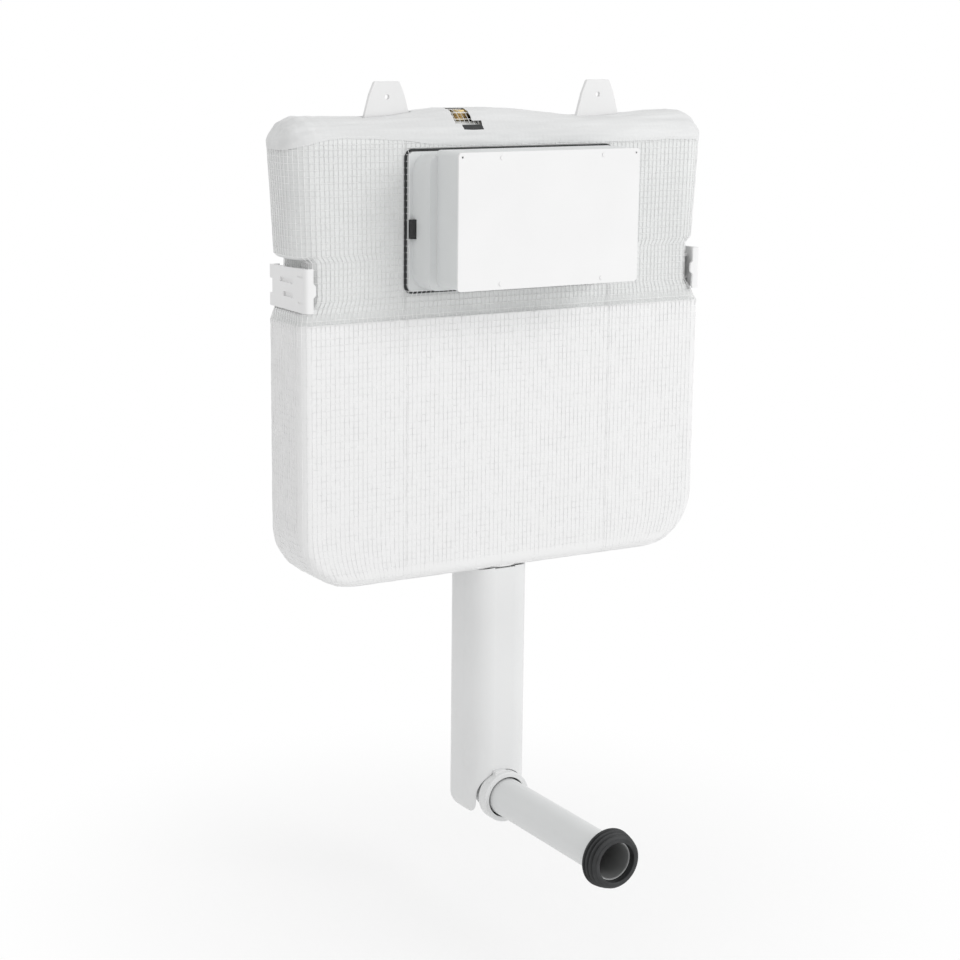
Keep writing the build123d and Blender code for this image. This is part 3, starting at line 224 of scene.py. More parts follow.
def turned(name, profile, centre, axis, steps):
    """A turned piece: an outline of (radius, distance along the axis) pairs spun round an axis."""
    axis = Vector(axis).normalized()
    side = axis.orthogonal().normalized()
    points = [Vector(centre) + side * r + axis * d for r, d in profile]
    mesh = bpy.data.meshes.new(name)
    edges = [(n, (n + 1) % len(points)) for n in range(len(points))]
    mesh.from_pydata(points, edges, [])
    piece = bpy.data.objects.new(name, mesh)
    bpy.context.collection.objects.link(piece)
    in_edit_mode(
        piece,
        lambda: bpy.ops.mesh.spin(
            steps=steps, angle=math.tau, center=centre, axis=axis, use_auto_merge=True
        ),
        lambda: bpy.ops.mesh.select_all(action="SELECT"),
        lambda: bpy.ops.mesh.remove_doubles(threshold=TURNED_MERGE),
        lambda: bpy.ops.mesh.normals_make_consistent(inside=False),
    )
    return piece


# The plaster net

TOP_RADIUS = 22 * MM
UPPER_PLAN_RADIUS = 26 * MM
WAIST_PLAN_RADIUS = 8 * MM
LOWER_PLAN_RADIUS = 10 * MM
LOW_SIDE_RADIUS = 58 * MM
SHOULDER_RADIUS = 26.5 * MM
UPPER_LOW_Z = TANK_HIGH.z - 127 * MM
LOWER_TOP_Z = UPPER_LOW_Z - 37 * MM
STEP_Z = LOWER_TOP_Z - 24.5 * MM
STEP_REACH = 9.5 * MM
UPPER_HALF = TANK_HIGH.x
UPPER_LOW_HALF = 235.0 * MM
WAIST_HALF = 219.0 * MM
SHOULDER_HALF = 232.0 * MM
LOWER_HALF = 233.5 * MM
UPPER_FRONT = -35.0 * MM
WAIST_BACK = 32.0 * MM
FLAT_TOP = TANK_MIDDLE_Y - (UPPER_FRONT + TOP_RADIUS)
HOLE_HALF = FLANGE_HIGH.x - 0.5 * MM
HOLE_TOP = GASKET_HIGH.z + MM
HOLE_LOW = FLANGE_LOW.z + 0.5 * MM
BRACKET_HALF_SLOT = 27.5 * MM
SLIT_HALF = 3.2 * MM
NUT_HOLE = 31 * MM
# Strands beside the step and beside the hole
STEP_STRAND_OVER = 4 * MM
STEP_STRAND_UNDER = 1 * MM
HEM_STRAND = 1.7 * MM
LOW_EDGE_STEPS = 3
# How the net is drawn in at its seam, stands off the tank's sides and lies closer below the step
RIDGE_HALF = 9 * MM
SEAM_DRAW_SHARE = 0.35
PUFF_REACH = 34 * MM
LOW_SINK_SHARE = 0.72
# Margins that tell the tank's front, the flange and the openings from the rest
FRONT_MARGIN = 4 * MM
FLANGE_FRONT_MARGIN = 3 * MM
FLANGE_SIDE_MARGIN = 0.4 * MM
LATCH_MARGIN = 2 * MM
LOW_MARGIN = 2 * MM
MERGE = 0.4 * MM
FOLD_MERGE = 0.2 * MM
# The open place at the inlet: beside the inlet's middle, before the tank's middle and under its top
INLET_OPEN_LEFT = 18 * MM
INLET_OPEN_RIGHT = 2 * MM
INLET_OPEN_BACK = 2 * MM
INLET_OPEN_LOW = 1.5 * MM
GROMMET_OPEN_RISE = 4 * MM
# Creases of the doubled net: their spacing along x, y and the fall, and their heights in millimetres
LEVEL_CREASE = (70 * MM, 40 * MM, 6.5 * MM)
FINE_CREASE = (26 * MM, 20 * MM, 2.6 * MM)
LEVEL_RISE, FINE_RISE, RAY_RISE = 1.5, 0.5, 0.45
RAY_CENTRE_X, RAY_CENTRE_Z = -0.205, -0.062
RAY_MIDDLE_X, RAY_REACH, RAY_BACK = -0.225, 0.04, 0.02
RAY_COUNT, RAY_SWAY = 17, 1.5
# The doubled net's grid, wall and distance from the tank
FOLD_STEPS = 32
FOLD_WALL = 0.3 * MM
FOLD_PRESS = 0.3 * MM
FOLD_EDGE_LIFT, FOLD_LIFT = 0.25, 1.25
FOLD_TAPER = 9 * MM
FOLD_EDGE_SWAY, FOLD_EDGE_SCALE = 0.9 * MM, 60
FOLD_LOWEST_COSINE = -0.2
# The area of the four strand pieces is measured from their cells, not the strands' own; a factor of about
# 1.22 would match the strands, but three of the four pieces would then be refused, being under the least
# area of 0.3 of the rectangle. Where the net's top line runs, as (x, height over the tank's top) in
# millimetres
TOP_LINE = (
    (-242, -1.5), (-232, 4.2), (-220, 4.8), (-150, 3.6), (-120, 4.6), (-94, 8.0), (-66, 11.3),
    (-14, 11.3), (26, 8.6), (60, 4.6), (96, 1.6), (122, 1.2), (150, 2.0), (182, 5.2),
    (206, 6.2), (222, 4.8), (236, 1.5), (242, -3.0),
)
# How far the stiff net stands off the tank's sides, as (z, distance) in millimetres
SIDE_PUFF = ((-135, 0.0), (-100, 1.0), (-70, 2.2), (-40, 2.8), (-30, 1.4), (-24, 0.0))
# The lower edge of the doubled net, as (x, z) in millimetres
FOLD_LINE = (
    (-244, -48), (-225, -43), (-205, -38.5), (-185, -37), (-147, -39), (-123, -40), (-82, -45),
    (-36, -46.5), (57, -46), (154, -46), (190, -45), (225, -46), (244, -49),
)


def between(pairs, x):
    """Straight-line value of a table of (place, value) pairs."""
    if x <= pairs[0][0]:
        return pairs[0][1]
    for (x0, v0), (x1, v1) in zip(pairs, pairs[1:]):
        if x <= x1:
            return v0 + (v1 - v0) * (x - x0) / (x1 - x0)
    return pairs[-1][1]


def arc_drop(radius, reach):
    """How far a quarter round has fallen back at a distance into it."""
    reach = min(max(reach, 0.0), radius)
    return radius - math.sqrt(radius * radius - reach * reach)


def half_width(z):
    """Half of the tank's width at a height, rounded at its top, shoulder and bottom."""
    if z > UPPER_LOW_Z:
        slope = (UPPER_HALF - UPPER_LOW_HALF) / (TANK_HIGH.z - UPPER_LOW_Z)
        half = UPPER_LOW_HALF + slope * (z - UPPER_LOW_Z)
        return half - arc_drop(TOP_RADIUS, z - (TANK_HIGH.z - TOP_RADIUS))
    if z > LOWER_TOP_Z:
        return WAIST_HALF
    if z > STEP_Z:
        drop = arc_drop(SHOULDER_RADIUS, z - (LOWER_TOP_Z - SHOULDER_RADIUS))
        return max(SHOULDER_HALF - drop, WAIST_HALF)
    return LOWER_HALF - arc_drop(LOW_SIDE_RADIUS, (TANK_LOW.z + LOW_SIDE_RADIUS) - z)


def front_and_back(z):
    """The net's front and back at a height, with the slope that it makes over the step."""
    if z <= STEP_Z:
        drop = arc_drop(LOWER_PLAN_RADIUS, (TANK_LOW.z + LOWER_PLAN_RADIUS) - z)
        return TANK_LOW.y + drop, TANK_HIGH.y - drop
    drop = arc_drop(TOP_RADIUS, z - (TANK_HIGH.z - TOP_RADIUS))
    in_waist = LOWER_TOP_Z < z < UPPER_LOW_Z
    back = WAIST_BACK if in_waist else TANK_HIGH.y
    slope = max(STEP_Z + STEP_REACH - z, 0.0) / STEP_REACH
    return UPPER_FRONT + drop + (TANK_LOW.y - UPPER_FRONT) * slope, back - drop


def plan_radius(z):
    """The rounding of the tank's upright corners at a height."""
    if z > UPPER_LOW_Z:
        return UPPER_PLAN_RADIUS - arc_drop(TOP_RADIUS, z - (TANK_HIGH.z - TOP_RADIUS))
    return WAIST_PLAN_RADIUS if z > LOWER_TOP_Z else LOWER_PLAN_RADIUS


def spread(start, end, pitch):
    """Evenly spaced values from start up to, but not at, end."""
    count = max(1, round(abs(end - start) / pitch))
    return [start + (end - start) * n / count for n in range(count)]


def net_rows(pitch):
    """The net's level strands, from the seam on the top down to the seam below the tank.

    Each row is (height, inset): an inset row lies flat on the top or bottom, that far in from the
    row at the edge."""
    rows = [(TANK_HIGH.z, inset) for inset in [FLAT_TOP] + spread(FLAT_TOP - SLIT_HALF, 0.0, pitch)]
    steps = round(TOP_RADIUS * math.pi / 2 / pitch)
    for n in range(steps):
        turn = math.radians(90 * (n + 0.5) / steps)
        rows.append((TANK_HIGH.z - TOP_RADIUS * (1 - math.cos(turn)), 0.0))
    rows += [(z, 0.0) for z in spread(HOLE_TOP, HOLE_LOW, pitch)]
    rows += [(z, 0.0) for z in spread(HOLE_LOW, STEP_Z + STEP_STRAND_OVER, pitch)]
    rows += [(STEP_Z + STEP_STRAND_OVER, 0.0)]
    low_start = STEP_Z - STEP_STRAND_UNDER
    rows += [(z, 0.0) for z in spread(low_start, TANK_LOW.z + LOWER_PLAN_RADIUS, pitch)]
    for n in range(LOW_EDGE_STEPS):
        turn = math.radians(90 * (n + 0.5) / LOW_EDGE_STEPS)
        rows.append((TANK_LOW.z + LOWER_PLAN_RADIUS * (1 - math.sin(turn)), 0.0))
    flat_low = TANK_MIDDLE_Y - (TANK_LOW.y + LOWER_PLAN_RADIUS)
    rows += [(TANK_LOW.z, flat_low - inset) for inset in spread(flat_low, 0.0, pitch)]
    rows.append((TANK_LOW.z, flat_low))
    return rows


def net_columns(pitch):
    """The net's upright strands once round, as (side, share) pairs, side 0 being over the hole.

    Two more strands run close beside the hole."""
    middle = round(2 * HOLE_HALF / pitch)
    depth = TANK_HIGH.y - TANK_LOW.y
    half = round((2 * LOWER_HALF - HOLE_HALF + depth - LOWER_PLAN_RADIUS) / pitch)
    columns = [(0, n / middle) for n in range(middle)]
    hem = HEM_STRAND / (half * pitch)
    columns += [(1, 0.0), (1, hem)] + [(1, n / half) for n in range(1, half)]
    columns += [(-1, 1 - n / half) for n in range(half)] + [(-1, hem)]
    return columns


def on_section(side, share, half, front, back, radius):
    """The point of one upright strand on a rounded rectangle in plan."""
    if side == 0:
        return HOLE_HALF * (2 * share - 1), front
    straight = half - radius
    corner = radius * math.pi / 2
    flat = back - front - 2 * radius
    along = share * (straight - HOLE_HALF + 2 * corner + flat + straight)
    if along < straight - HOLE_HALF:
        return side * (HOLE_HALF + along), front
    along -= straight - HOLE_HALF
    if along < corner:
        turn = along / radius
        return side * (straight + radius * math.sin(turn)), front + radius * (1 - math.cos(turn))
    along -= corner
    if along < flat:
        return side * half, front + radius + along
    along -= flat
    if along < corner:
        turn = along / radius
        return side * (straight + radius * math.cos(turn)), back - radius + radius * math.sin(turn)
    return side * (straight - (along - corner)), back


def drape(x, y, z):
    """How far the net stands over the tank's top, held up by the inlet and its stiff corners."""
    rise = between(TOP_LINE, x / MM) * MM
    away = abs(y - TANK_MIDDLE_Y)
    reach = TANK_MIDDLE_Y - UPPER_FRONT
    share = min(max((reach - away) / (reach - RIDGE_HALF), 0.0), 1.0)
    level = min(max((z - (TANK_HIGH.z - TOP_RADIUS)) / TOP_RADIUS, 0.0), 1.0)
    return rise * share * level


def net_point(side, share, z, inset):
    """One crossing of the net, before it is pressed on to the tank."""
    front, back = front_and_back(z)
    half = half_width(z)
    middle = TANK_MIDDLE_Y
    reach = middle - front
    if inset:
        front = min(front + inset, middle)
        back = max(back - inset * (back - middle) / reach, middle)
        half -= SEAM_DRAW_SHARE * inset * (inset / FLAT_TOP) if z > HOLE_TOP else 0.0
    radius = max(min(plan_radius(z), (back - front) / 2), 0.0)
    x, y = on_section(side, share, half, front, back, radius)
    beside = min(max((abs(x) - half + PUFF_REACH) / PUFF_REACH, 0.0), 1.0)
    x += math.copysign(between(SIDE_PUFF, z / MM) * MM * beside * beside, x)
    return Vector((x, y, z + drape(x, y, z)))


def grid_of_points(name, points, across):
    """A closed-round grid of faces through rows of points."""
    bpy.ops.object.select_all(action="DESELECT")
    rows = len(points) // across
    bpy.ops.mesh.primitive_grid_add(x_subdivisions=across - 1, y_subdivisions=rows - 1, size=1)
    grid = bpy.context.active_object
    grid.name = name
    vertices = grid.data.vertices
    order = sorted(
        range(len(vertices)), key=lambda n: (-round(vertices[n].co.y, 5), round(vertices[n].co.x, 5))
    )
    for place, n in enumerate(order):
        vertices[n].co = points[place]
    return grid


def press_on_tank(piece, lift):
    """Keeps a piece outside the tank by a distance."""
    press = piece.modifiers.new("Press", "SHRINKWRAP")
    press.target = frame["nodes"]["tank_body"]
    press.wrap_method = "NEAREST_SURFACEPOINT"
    press.wrap_mode = "OUTSIDE"
    press.offset = lift
    apply_modifiers(piece)


def sleeve(sizes):
    """The net as a sleeve of plain cells with its seams, cut out round what passes through it."""
    random.seed(11)
    rows = net_rows(sizes.cell_height)
    columns = net_columns(sizes.cell_width)
    columns.append(columns[0])
    points = [net_point(*column, *row) for row in rows for column in columns]
    net = grid_of_points("net_sleeve", points, len(columns))
    in_edit_mode(
        net,
        lambda: bpy.ops.mesh.remove_doubles(threshold=MERGE),
        lambda: bpy.ops.mesh.normals_make_consistent(inside=False),
    )
    press_on_tank(net, sizes.net_lift)
    half_stray = sizes.net_stray / 2
    for vertex in net.data.vertices:
        over_flange = (
            vertex.co.y < UPPER_FRONT + FLANGE_FRONT_MARGIN
            and abs(vertex.co.x) < HOLE_HALF + FLANGE_SIDE_MARGIN
            and HOLE_LOW - FLANGE_SIDE_MARGIN < vertex.co.z < FLANGE_HIGH.z
        )
        if over_flange:
            vertex.co.y = FLANGE_LOW.y - sizes.net_lift
        if vertex.co.z < STEP_Z - LOW_MARGIN:
            vertex.co -= vertex.normal * sizes.net_lift * LOW_SINK_SHARE
        vertex.co += Vector([random.uniform(-1, 1) * half_stray for _ in range(3)])
    cut_faces(net, in_net_opening)
    return net


def in_net_opening(centre):
    """Whether a cell lies at the access frame, a latch, a hanger bracket or the outlet nut."""
    bracket_x = (BRACKET_LOW.x + BRACKET_HIGH.x) / 2
    in_flange = (
        centre.y < UPPER_FRONT + FRONT_MARGIN
        and abs(centre.x) < HOLE_HALF
        and HOLE_LOW < centre.z < HOLE_TOP
    )
    at_latch = (
        centre.y < UPPER_FRONT + FRONT_MARGIN
        and abs(centre.x) < LATCH_HIGH.x + LATCH_MARGIN
        and LATCH_LOW.z - LATCH_MARGIN < centre.z < LATCH_HIGH.z + LATCH_MARGIN
    )
    in_slit = (
        abs(centre.y - TANK_MIDDLE_Y) < SLIT_HALF
        and abs(abs(centre.x) - bracket_x) < BRACKET_HALF_SLOT
        and centre.z > TANK_HIGH.z - SLIT_HALF
    )
    in_nut = (
        centre.z < TANK_LOW.z + LOW_MARGIN
        and math.hypot(centre.x, centre.y - TANK_MIDDLE_Y) < NUT_HOLE
    )
    return in_flange or at_latch or in_slit or in_nut


def in_fold_opening(centre):
    """Whether a bit of the doubled net lies at a hanger bracket, the inlet or the grommet."""
    inlet_x = (TAIL_LOW.x + TAIL_HIGH.x) / 2
    at_inlet = (
        inlet_x - INLET_OPEN_LEFT < centre.x < inlet_x + INLET_OPEN_RIGHT
        and centre.y < TANK_MIDDLE_Y - INLET_OPEN_BACK
        and centre.z > TANK_HIGH.z - INLET_OPEN_LOW
    )
    at_grommet = (
        centre.y < TANK_MIDDLE_Y
        and GROMMET_LOW.x < centre.x < GROMMET_HIGH.x
        and GROMMET_LOW.y < centre.y < GROMMET_HIGH.y
        and GROMMET_LOW.z < centre.z < GROMMET_HIGH.z + GROMMET_OPEN_RISE
    )
    return in_net_opening(centre) or at_inlet or at_grommet


def cut_faces(piece, gone):
    """Removes the faces of a piece whose middles a rule picks out."""
    work = bmesh.new()
    work.from_mesh(piece.data)
    faces = [face for face in work.faces if gone(face.calc_center_median())]
    bmesh.ops.delete(work, geom=faces, context="FACES")
    work.to_mesh(piece.data)
    work.free()


NET_SPLIT_Z = -0.235
NET_PARTS = {
    "net_front_upper": lambda c: c.y < TANK_MIDDLE_Y and c.z > NET_SPLIT_Z,
    "net_front_lower": lambda c: c.y < TANK_MIDDLE_Y and c.z <= NET_SPLIT_Z,
    "net_back_upper": lambda c: c.y >= TANK_MIDDLE_Y and c.z > NET_SPLIT_Z,
    "net_back_lower": lambda c: c.y >= TANK_MIDDLE_Y and c.z <= NET_SPLIT_Z,
}


def part_of_net(net, name, keep, strand):
    """One part of the sleeve with its cells turned into strands."""
    part = bpy.data.objects.new(name, net.data.copy())
    bpy.context.collection.objects.link(part)
    cut_faces(part, lambda centre: not keep(centre))
    cloth = sum(face.area for face in part.data.polygons)
    wires = part.modifiers.new("Strands", "WIREFRAME")
    wires.thickness = strand
    wires.use_replace = True
    wires.use_even_offset = False
    wires.use_boundary = True
    wires.offset = 0.0
    apply_modifiers(part)
    smooth(part, degrees=50)
    return part, cloth


def crease(point, along):
    """The height of the doubled net's creases: level ones, and rays at its upper left corner."""
    place = (point.x, point.y, along)
    level = noise.noise(Vector([p / size for p, size in zip(place, LEVEL_CREASE)]))
    fine = noise.noise(Vector([p / size for p, size in zip(place, FINE_CREASE)]))
    ray = Vector((point.x - RAY_CENTRE_X, point.z - RAY_CENTRE_Z))
    near = max(1 - abs(point.x - RAY_MIDDLE_X) / RAY_REACH, 0.0) if point.y < RAY_BACK else 0.0
    rays = math.sin(math.atan2(ray.y, ray.x) * RAY_COUNT + RAY_SWAY * level) * near
    return LEVEL_RISE * level + FINE_RISE * fine + RAY_RISE * rays


def fold_point(side, share, n):
    """One point of the doubled net, n steps down from the seam towards its lower edge."""
    edge = net_point(side, share, TANK_HIGH.z - TOP_RADIUS, 0.0)
    sway = FOLD_EDGE_SWAY * noise.noise(edge * FOLD_EDGE_SCALE)
    low = between(FOLD_LINE, edge.x / MM) * MM + sway
    turn = math.acos(max(1 - (TANK_HIGH.z - low) / TOP_RADIUS, FOLD_LOWEST_COSINE))
    total = FLAT_TOP - SLIT_HALF + TOP_RADIUS * turn
    along = total * (n - 1) / (FOLD_STEPS - 1) + SLIT_HALF if n else 0.0
    if along < FLAT_TOP:
        return net_point(side, share, TANK_HIGH.z, FLAT_TOP - along)
    bend = min((along - FLAT_TOP) / TOP_RADIUS, math.pi / 2)
    under = along - FLAT_TOP - TOP_RADIUS * bend
    return net_point(side, share, TANK_HIGH.z - TOP_RADIUS * (1 - math.cos(bend)) - under, 0.0)


def crumple(fold):
    """Lifts the doubled net off the tank and creases it, less so at its lower edge."""
    normals = [vertex.normal.copy() for vertex in fold.data.vertices]
    for vertex, normal in zip(fold.data.vertices, normals):
        along = abs(vertex.co.y - TANK_MIDDLE_Y) + TANK_HIGH.z - vertex.co.z
        low = between(FOLD_LINE, vertex.co.x / MM) * MM
        share = min(max((vertex.co.z - low) / FOLD_TAPER, 0.0), 1.0)
        rise = FOLD_EDGE_LIFT + share * (FOLD_LIFT + crease(vertex.co, along))
        vertex.co += normal * rise * MM


def top_fold(sizes):
    """The doubled net over the tank's top: a creased sheet with slits for what passes through."""
    columns = net_columns(sizes.cell_width * 0.5)
    columns.append(columns[0])
    points = [fold_point(side, share, n) for n in range(FOLD_STEPS + 1) for side, share in columns]
    fold = grid_of_points("net_top_fold", points, len(columns))
    in_edit_mode(
        fold,
        lambda: bpy.ops.mesh.remove_doubles(threshold=FOLD_MERGE),
        lambda: bpy.ops.mesh.normals_make_consistent(inside=False),
    )
    press_on_tank(fold, FOLD_PRESS)
    crumple(fold)
    cut_faces(fold, in_fold_opening)
    wall = fold.modifiers.new("Wall", "SOLIDIFY")
    wall.thickness = FOLD_WALL
    apply_modifiers(fold)
    smooth(fold, degrees=60)
    return fold


# Finishes

RAMP_START, RAMP_END = 0.3, 0.7
# Sockets of a colour mix node
MIX_SHARE, MIX_FIRST, MIX_SECOND, MIX_RESULT = 0, 6, 7, 2
STEP_BLEND = 0.5 * MM
# The outlet pipe's bore gets painted shade: where it starts and ends, from the outside, and how dark it is
BORE_START, BORE_END, BORE_PAINTED_SHADE = 1.2 * MM, 0.6 * MM, 0.32


class Finish:
    """A material made of nodes, with short calls to add and join them."""

    def __init__(self, name, base, roughness, metallic=0.0):
        self.material = bpy.data.materials.new(name)
        self.material.use_nodes = True
        self.nodes = self.material.node_tree.nodes
        self.links = self.material.node_tree.links
        self.shader = self.nodes["Principled BSDF"]
        self.shader.inputs["Roughness"].default_value = roughness
        self.shader.inputs["Metallic"].default_value = metallic
        self.shader.inputs["Base Color"].default_value = (*base, 1)
        self.base = base
        self.place = self.nodes.new("ShaderNodeTexCoord").outputs["Object"]
        self.height = None
        self.tint = None

    def noise(self, scale, detail=3.0, stretch=(1, 1, 1)):
        """A noise pattern over the piece, in real size, stretched along its axes."""
        mapping = self.nodes.new("ShaderNodeMapping")
        mapping.inputs["Scale"].default_value = stretch
        self.links.new(self.place, mapping.inputs["Vector"])
        pattern = self.nodes.new("ShaderNodeTexNoise")
        pattern.inputs["Scale"].default_value = scale
        pattern.inputs["Detail"].default_value = detail
        self.links.new(mapping.outputs["Vector"], pattern.inputs["Vector"])
        return pattern.outputs["Fac"]

    def vary(self, pattern, low, high):
        """Tints the base colour from low to high shares over a pattern."""
        ramp = self.nodes.new("ShaderNodeValToRGB")
        ramp.color_ramp.elements[0].position = RAMP_START
        ramp.color_ramp.elements[1].position = RAMP_END
        ramp.color_ramp.elements[0].color = (*[min(c * low, 1) for c in self.base], 1)
        ramp.color_ramp.elements[1].color = (*[min(c * high, 1) for c in self.base], 1)
        self.links.new(pattern, ramp.inputs["Fac"])
        self.tint = ramp.outputs["Color"]
        self.links.new(self.tint, self.shader.inputs["Base Color"])

    def share_of(self, value, start, end):
        """A share that grows from nothing to one while a value goes from start to end."""
        growth = self.nodes.new("ShaderNodeMapRange")
        growth.inputs["From Min"].default_value = start
        growth.inputs["From Max"].default_value = end
        self.links.new(value, growth.inputs["Value"])
        return growth.outputs["Result"]

    def blend(self, first, share):
        """Blends another colour into the tint, which is left alone where the share is one."""
        mix = self.nodes.new("ShaderNodeMix")
        mix.data_type = "RGBA"
        mix.inputs[MIX_FIRST].default_value = (*first, 1)
        self.links.new(share, mix.inputs[MIX_SHARE])
        self.links.new(self.tint, mix.inputs[MIX_SECOND])
        self.links.new(mix.outputs[MIX_RESULT], self.shader.inputs["Base Color"])

    def rough(self, pattern, low, high):
        """Roughness from low to high over a pattern."""
        spread_range = self.nodes.new("ShaderNodeMapRange")
        spread_range.inputs["To Min"].default_value = low
        spread_range.inputs["To Max"].default_value = high
        self.links.new(pattern, spread_range.inputs["Value"])
        self.links.new(spread_range.outputs["Result"], self.shader.inputs["Roughness"])

    def bump(self, pattern, depth, strength=0.5):
        """Adds a height pattern to the surface."""
        bump = self.nodes.new("ShaderNodeBump")
        bump.inputs["Distance"].default_value = depth
        bump.inputs["Strength"].default_value = strength
        self.links.new(pattern, bump.inputs["Height"])
        if self.height is not None:
            self.links.new(self.height, bump.inputs["Normal"])
        self.height = bump.outputs["Normal"]
        self.links.new(self.height, self.shader.inputs["Normal"])


def moulded(name, base, roughness=0.42, grain=900, depth=0.05 * MM):
    """Injection-moulded plastic: a fine grain, slow colour drift and uneven sheen."""
    finish = Finish(name, base, roughness)
    finish.vary(finish.noise(9, 2.0), 0.975, 1.02)
    finish.rough(finish.noise(40), roughness - 0.06, roughness + 0.08)
    finish.bump(finish.noise(grain, 2.0), depth, 0.25)
    return finish.material


def blown_tank(name, base, low_base):
    """Blow-moulded polyethylene with an orange-peel skin, its lower part paler than its upper."""
    finish = Finish(name, base, 0.5)
    finish.vary(finish.noise(14, 4.0, (1, 1, 0.35)), 0.95, 1.04)
    height = finish.nodes.new("ShaderNodeSeparateXYZ")
    finish.links.new(finish.place, height.inputs["Vector"])
    over_step = finish.share_of(height.outputs["Z"], STEP_Z - STEP_BLEND, STEP_Z + STEP_BLEND)
    finish.blend(low_base, over_step)
    finish.rough(finish.noise(60), 0.42, 0.6)
    finish.bump(finish.noise(220, 3.0), 0.3 * MM, 0.3)
    finish.bump(finish.noise(26, 2.0, (1, 1, 0.2)), 0.8 * MM, 0.25)
    return finish.material


def glass_net(name, base):
    """Coated glass-fibre strands: fine twisted threads with a soft sheen."""
    finish = Finish(name, base, 0.62)
    finish.vary(finish.noise(60, 3.0), 0.93, 1.03)
    finish.bump(finish.noise(2600, 2.0), 0.12 * MM, 0.6)
    finish.shader.inputs["Sheen Weight"].default_value = 0.15
    return finish.material


def glass_fold(name, base):
    """Doubled glass-fibre net seen as a sheet: a fine weave and faint level streaks."""
    finish = Finish(name, base, 0.6)
    finish.vary(finish.noise(90, 3.0, (0.1, 1, 1)), 0.93, 1.03)
    for axis in ("X", "Z"):
        weave = finish.nodes.new("ShaderNodeTexWave")
        weave.bands_direction = axis
        weave.inputs["Scale"].default_value = 62
        weave.inputs["Distortion"].default_value = 1.2
        finish.links.new(finish.place, weave.inputs["Vector"])
        finish.bump(weave.outputs["Fac"], 0.2 * MM, 0.35)
    finish.shader.inputs["Sheen Weight"].default_value = 0.1
    return finish.material


def rubber(name, base, roughness=0.55):
    """Moulded rubber: matt, with a dusty bloom and a fine grain."""
    finish = Finish(name, base, roughness)
    finish.vary(finish.noise(70, 4.0), 0.8, 1.7)
    finish.rough(finish.noise(120), roughness - 0.1, roughness + 0.14)
    finish.bump(finish.noise(1400, 3.0), 0.08 * MM, 0.4)
    return finish.material


def turned_metal(name, base, stretch, roughness=0.26, metallic=1.0):
    """Turned metal with fine tool lines round it and a few dull spots."""
    finish = Finish(name, base, roughness, metallic)
    finish.vary(finish.noise(90, 3.0), 0.85, 1.08)
    finish.rough(finish.noise(160), roughness - 0.08, roughness + 0.18)
    finish.bump(finish.noise(900, 2.0, stretch), 0.05 * MM, 0.5)
    return finish.material


def drawn_pipe(name, base):
    """Extruded pipe: faint lines along it, a satin skin, and painted shade darkening its bore."""
    finish = Finish(name, base, 0.36)
    finish.vary(finish.noise(16, 3.0, (1, 0.1, 1)), 0.965, 1.03)
    centre = (PIPE_LOW + PIPE_HIGH) / 2
    away = finish.nodes.new("ShaderNodeVectorMath")
    away.operation = "SUBTRACT"
    away.inputs[1].default_value = centre
    finish.links.new(finish.place, away.inputs[0])
    across = finish.nodes.new("ShaderNodeVectorMath")
    across.operation = "MULTIPLY"
    across.inputs[1].default_value = (1, 0, 1)
    finish.links.new(away.outputs["Vector"], across.inputs[0])
    radius = finish.nodes.new("ShaderNodeVectorMath")
    radius.operation = "LENGTH"
    finish.links.new(across.outputs["Vector"], radius.inputs[0])
    outside = (PIPE_HIGH.x - PIPE_LOW.x) / 2
    clear_of_painted_shade = finish.share_of(radius.outputs["Value"], outside - BORE_START, outside - BORE_END)
    # Painted shade: the bore's inner wall is darkened to stand in for the shade inside the pipe.
    finish.blend([c * BORE_PAINTED_SHADE for c in base], clear_of_painted_shade)
    finish.rough(finish.noise(50), 0.3, 0.44)
    finish.bump(finish.noise(420, 2.0, (1, 0.02, 1)), 0.06 * MM, 0.4)
    return finish.material


def braided(name, base):
    """Stainless braid: two crossing sets of wires, with painted shade darkening the gaps between them."""
    finish = Finish(name, base, 0.3, metallic=1.0)
    waves = []
    for turn in (45, -45):
        mapping = finish.nodes.new("ShaderNodeMapping")
        mapping.inputs["Rotation"].default_value = (0, math.radians(turn), 0)
        finish.links.new(finish.place, mapping.inputs["Vector"])
        wave = finish.nodes.new("ShaderNodeTexWave")
        wave.inputs["Scale"].default_value = 260
        finish.links.new(mapping.outputs["Vector"], wave.inputs["Vector"])
        waves.append(wave.outputs["Fac"])
    weave = finish.nodes.new("ShaderNodeMath")
    weave.operation = "MAXIMUM"
    for n, wave in enumerate(waves):
        finish.links.new(wave, weave.inputs[n])
    # Painted shade: the colour is darker where the weave is low, in the gaps between the wires.
    finish.vary(weave.outputs["Value"], 0.55, 1.1)
    finish.bump(weave.outputs["Value"], 0.5 * MM, 0.8)
    return finish.material


def finishes(colours):
    """Every finish of the object by name."""
    return {
        "tank": blown_tank("blown_tank", colours.tank, colours.tank_low),
        "net": glass_net("glass_net", colours.net),
        "fold": glass_fold("glass_fold", colours.fold),
        "bracket": moulded("bracket_plastic", colours.bracket, 0.46),
        "clip": moulded("clip_plastic", colours.clip, 0.34),
        "flange": moulded("frame_plastic", colours.flange, 0.4),
        "box": moulded("box_plastic", colours.box, 0.38),
        "cover": moulded("cover_plastic", colours.cover, 0.36, 700),
        "casing": moulded("casing_plastic", colours.casing, 0.44),
        "pipe": drawn_pipe("grey_pipe", colours.pipe),
        "rubber": rubber("black_rubber", colours.rubber),
        "soft_rubber": rubber("soft_rubber", colours.rubber, 0.66),
        "black": moulded("black_plastic", colours.black, 0.5),
        "brass": turned_metal("turned_brass", colours.brass, (0.1, 0.1, 1), 0.4, 0.6),
        "steel": turned_metal("turned_steel", colours.steel, (1, 0.1, 0.1)),
        "braid": braided("steel_braid", colours.steel),
        "white": moulded("inner_white", colours.white, 0.4),
        "grey": moulded("inner_grey", colours.grey, 0.42),
        "blue": moulded("inner_blue", colours.blue, 0.4),
    }


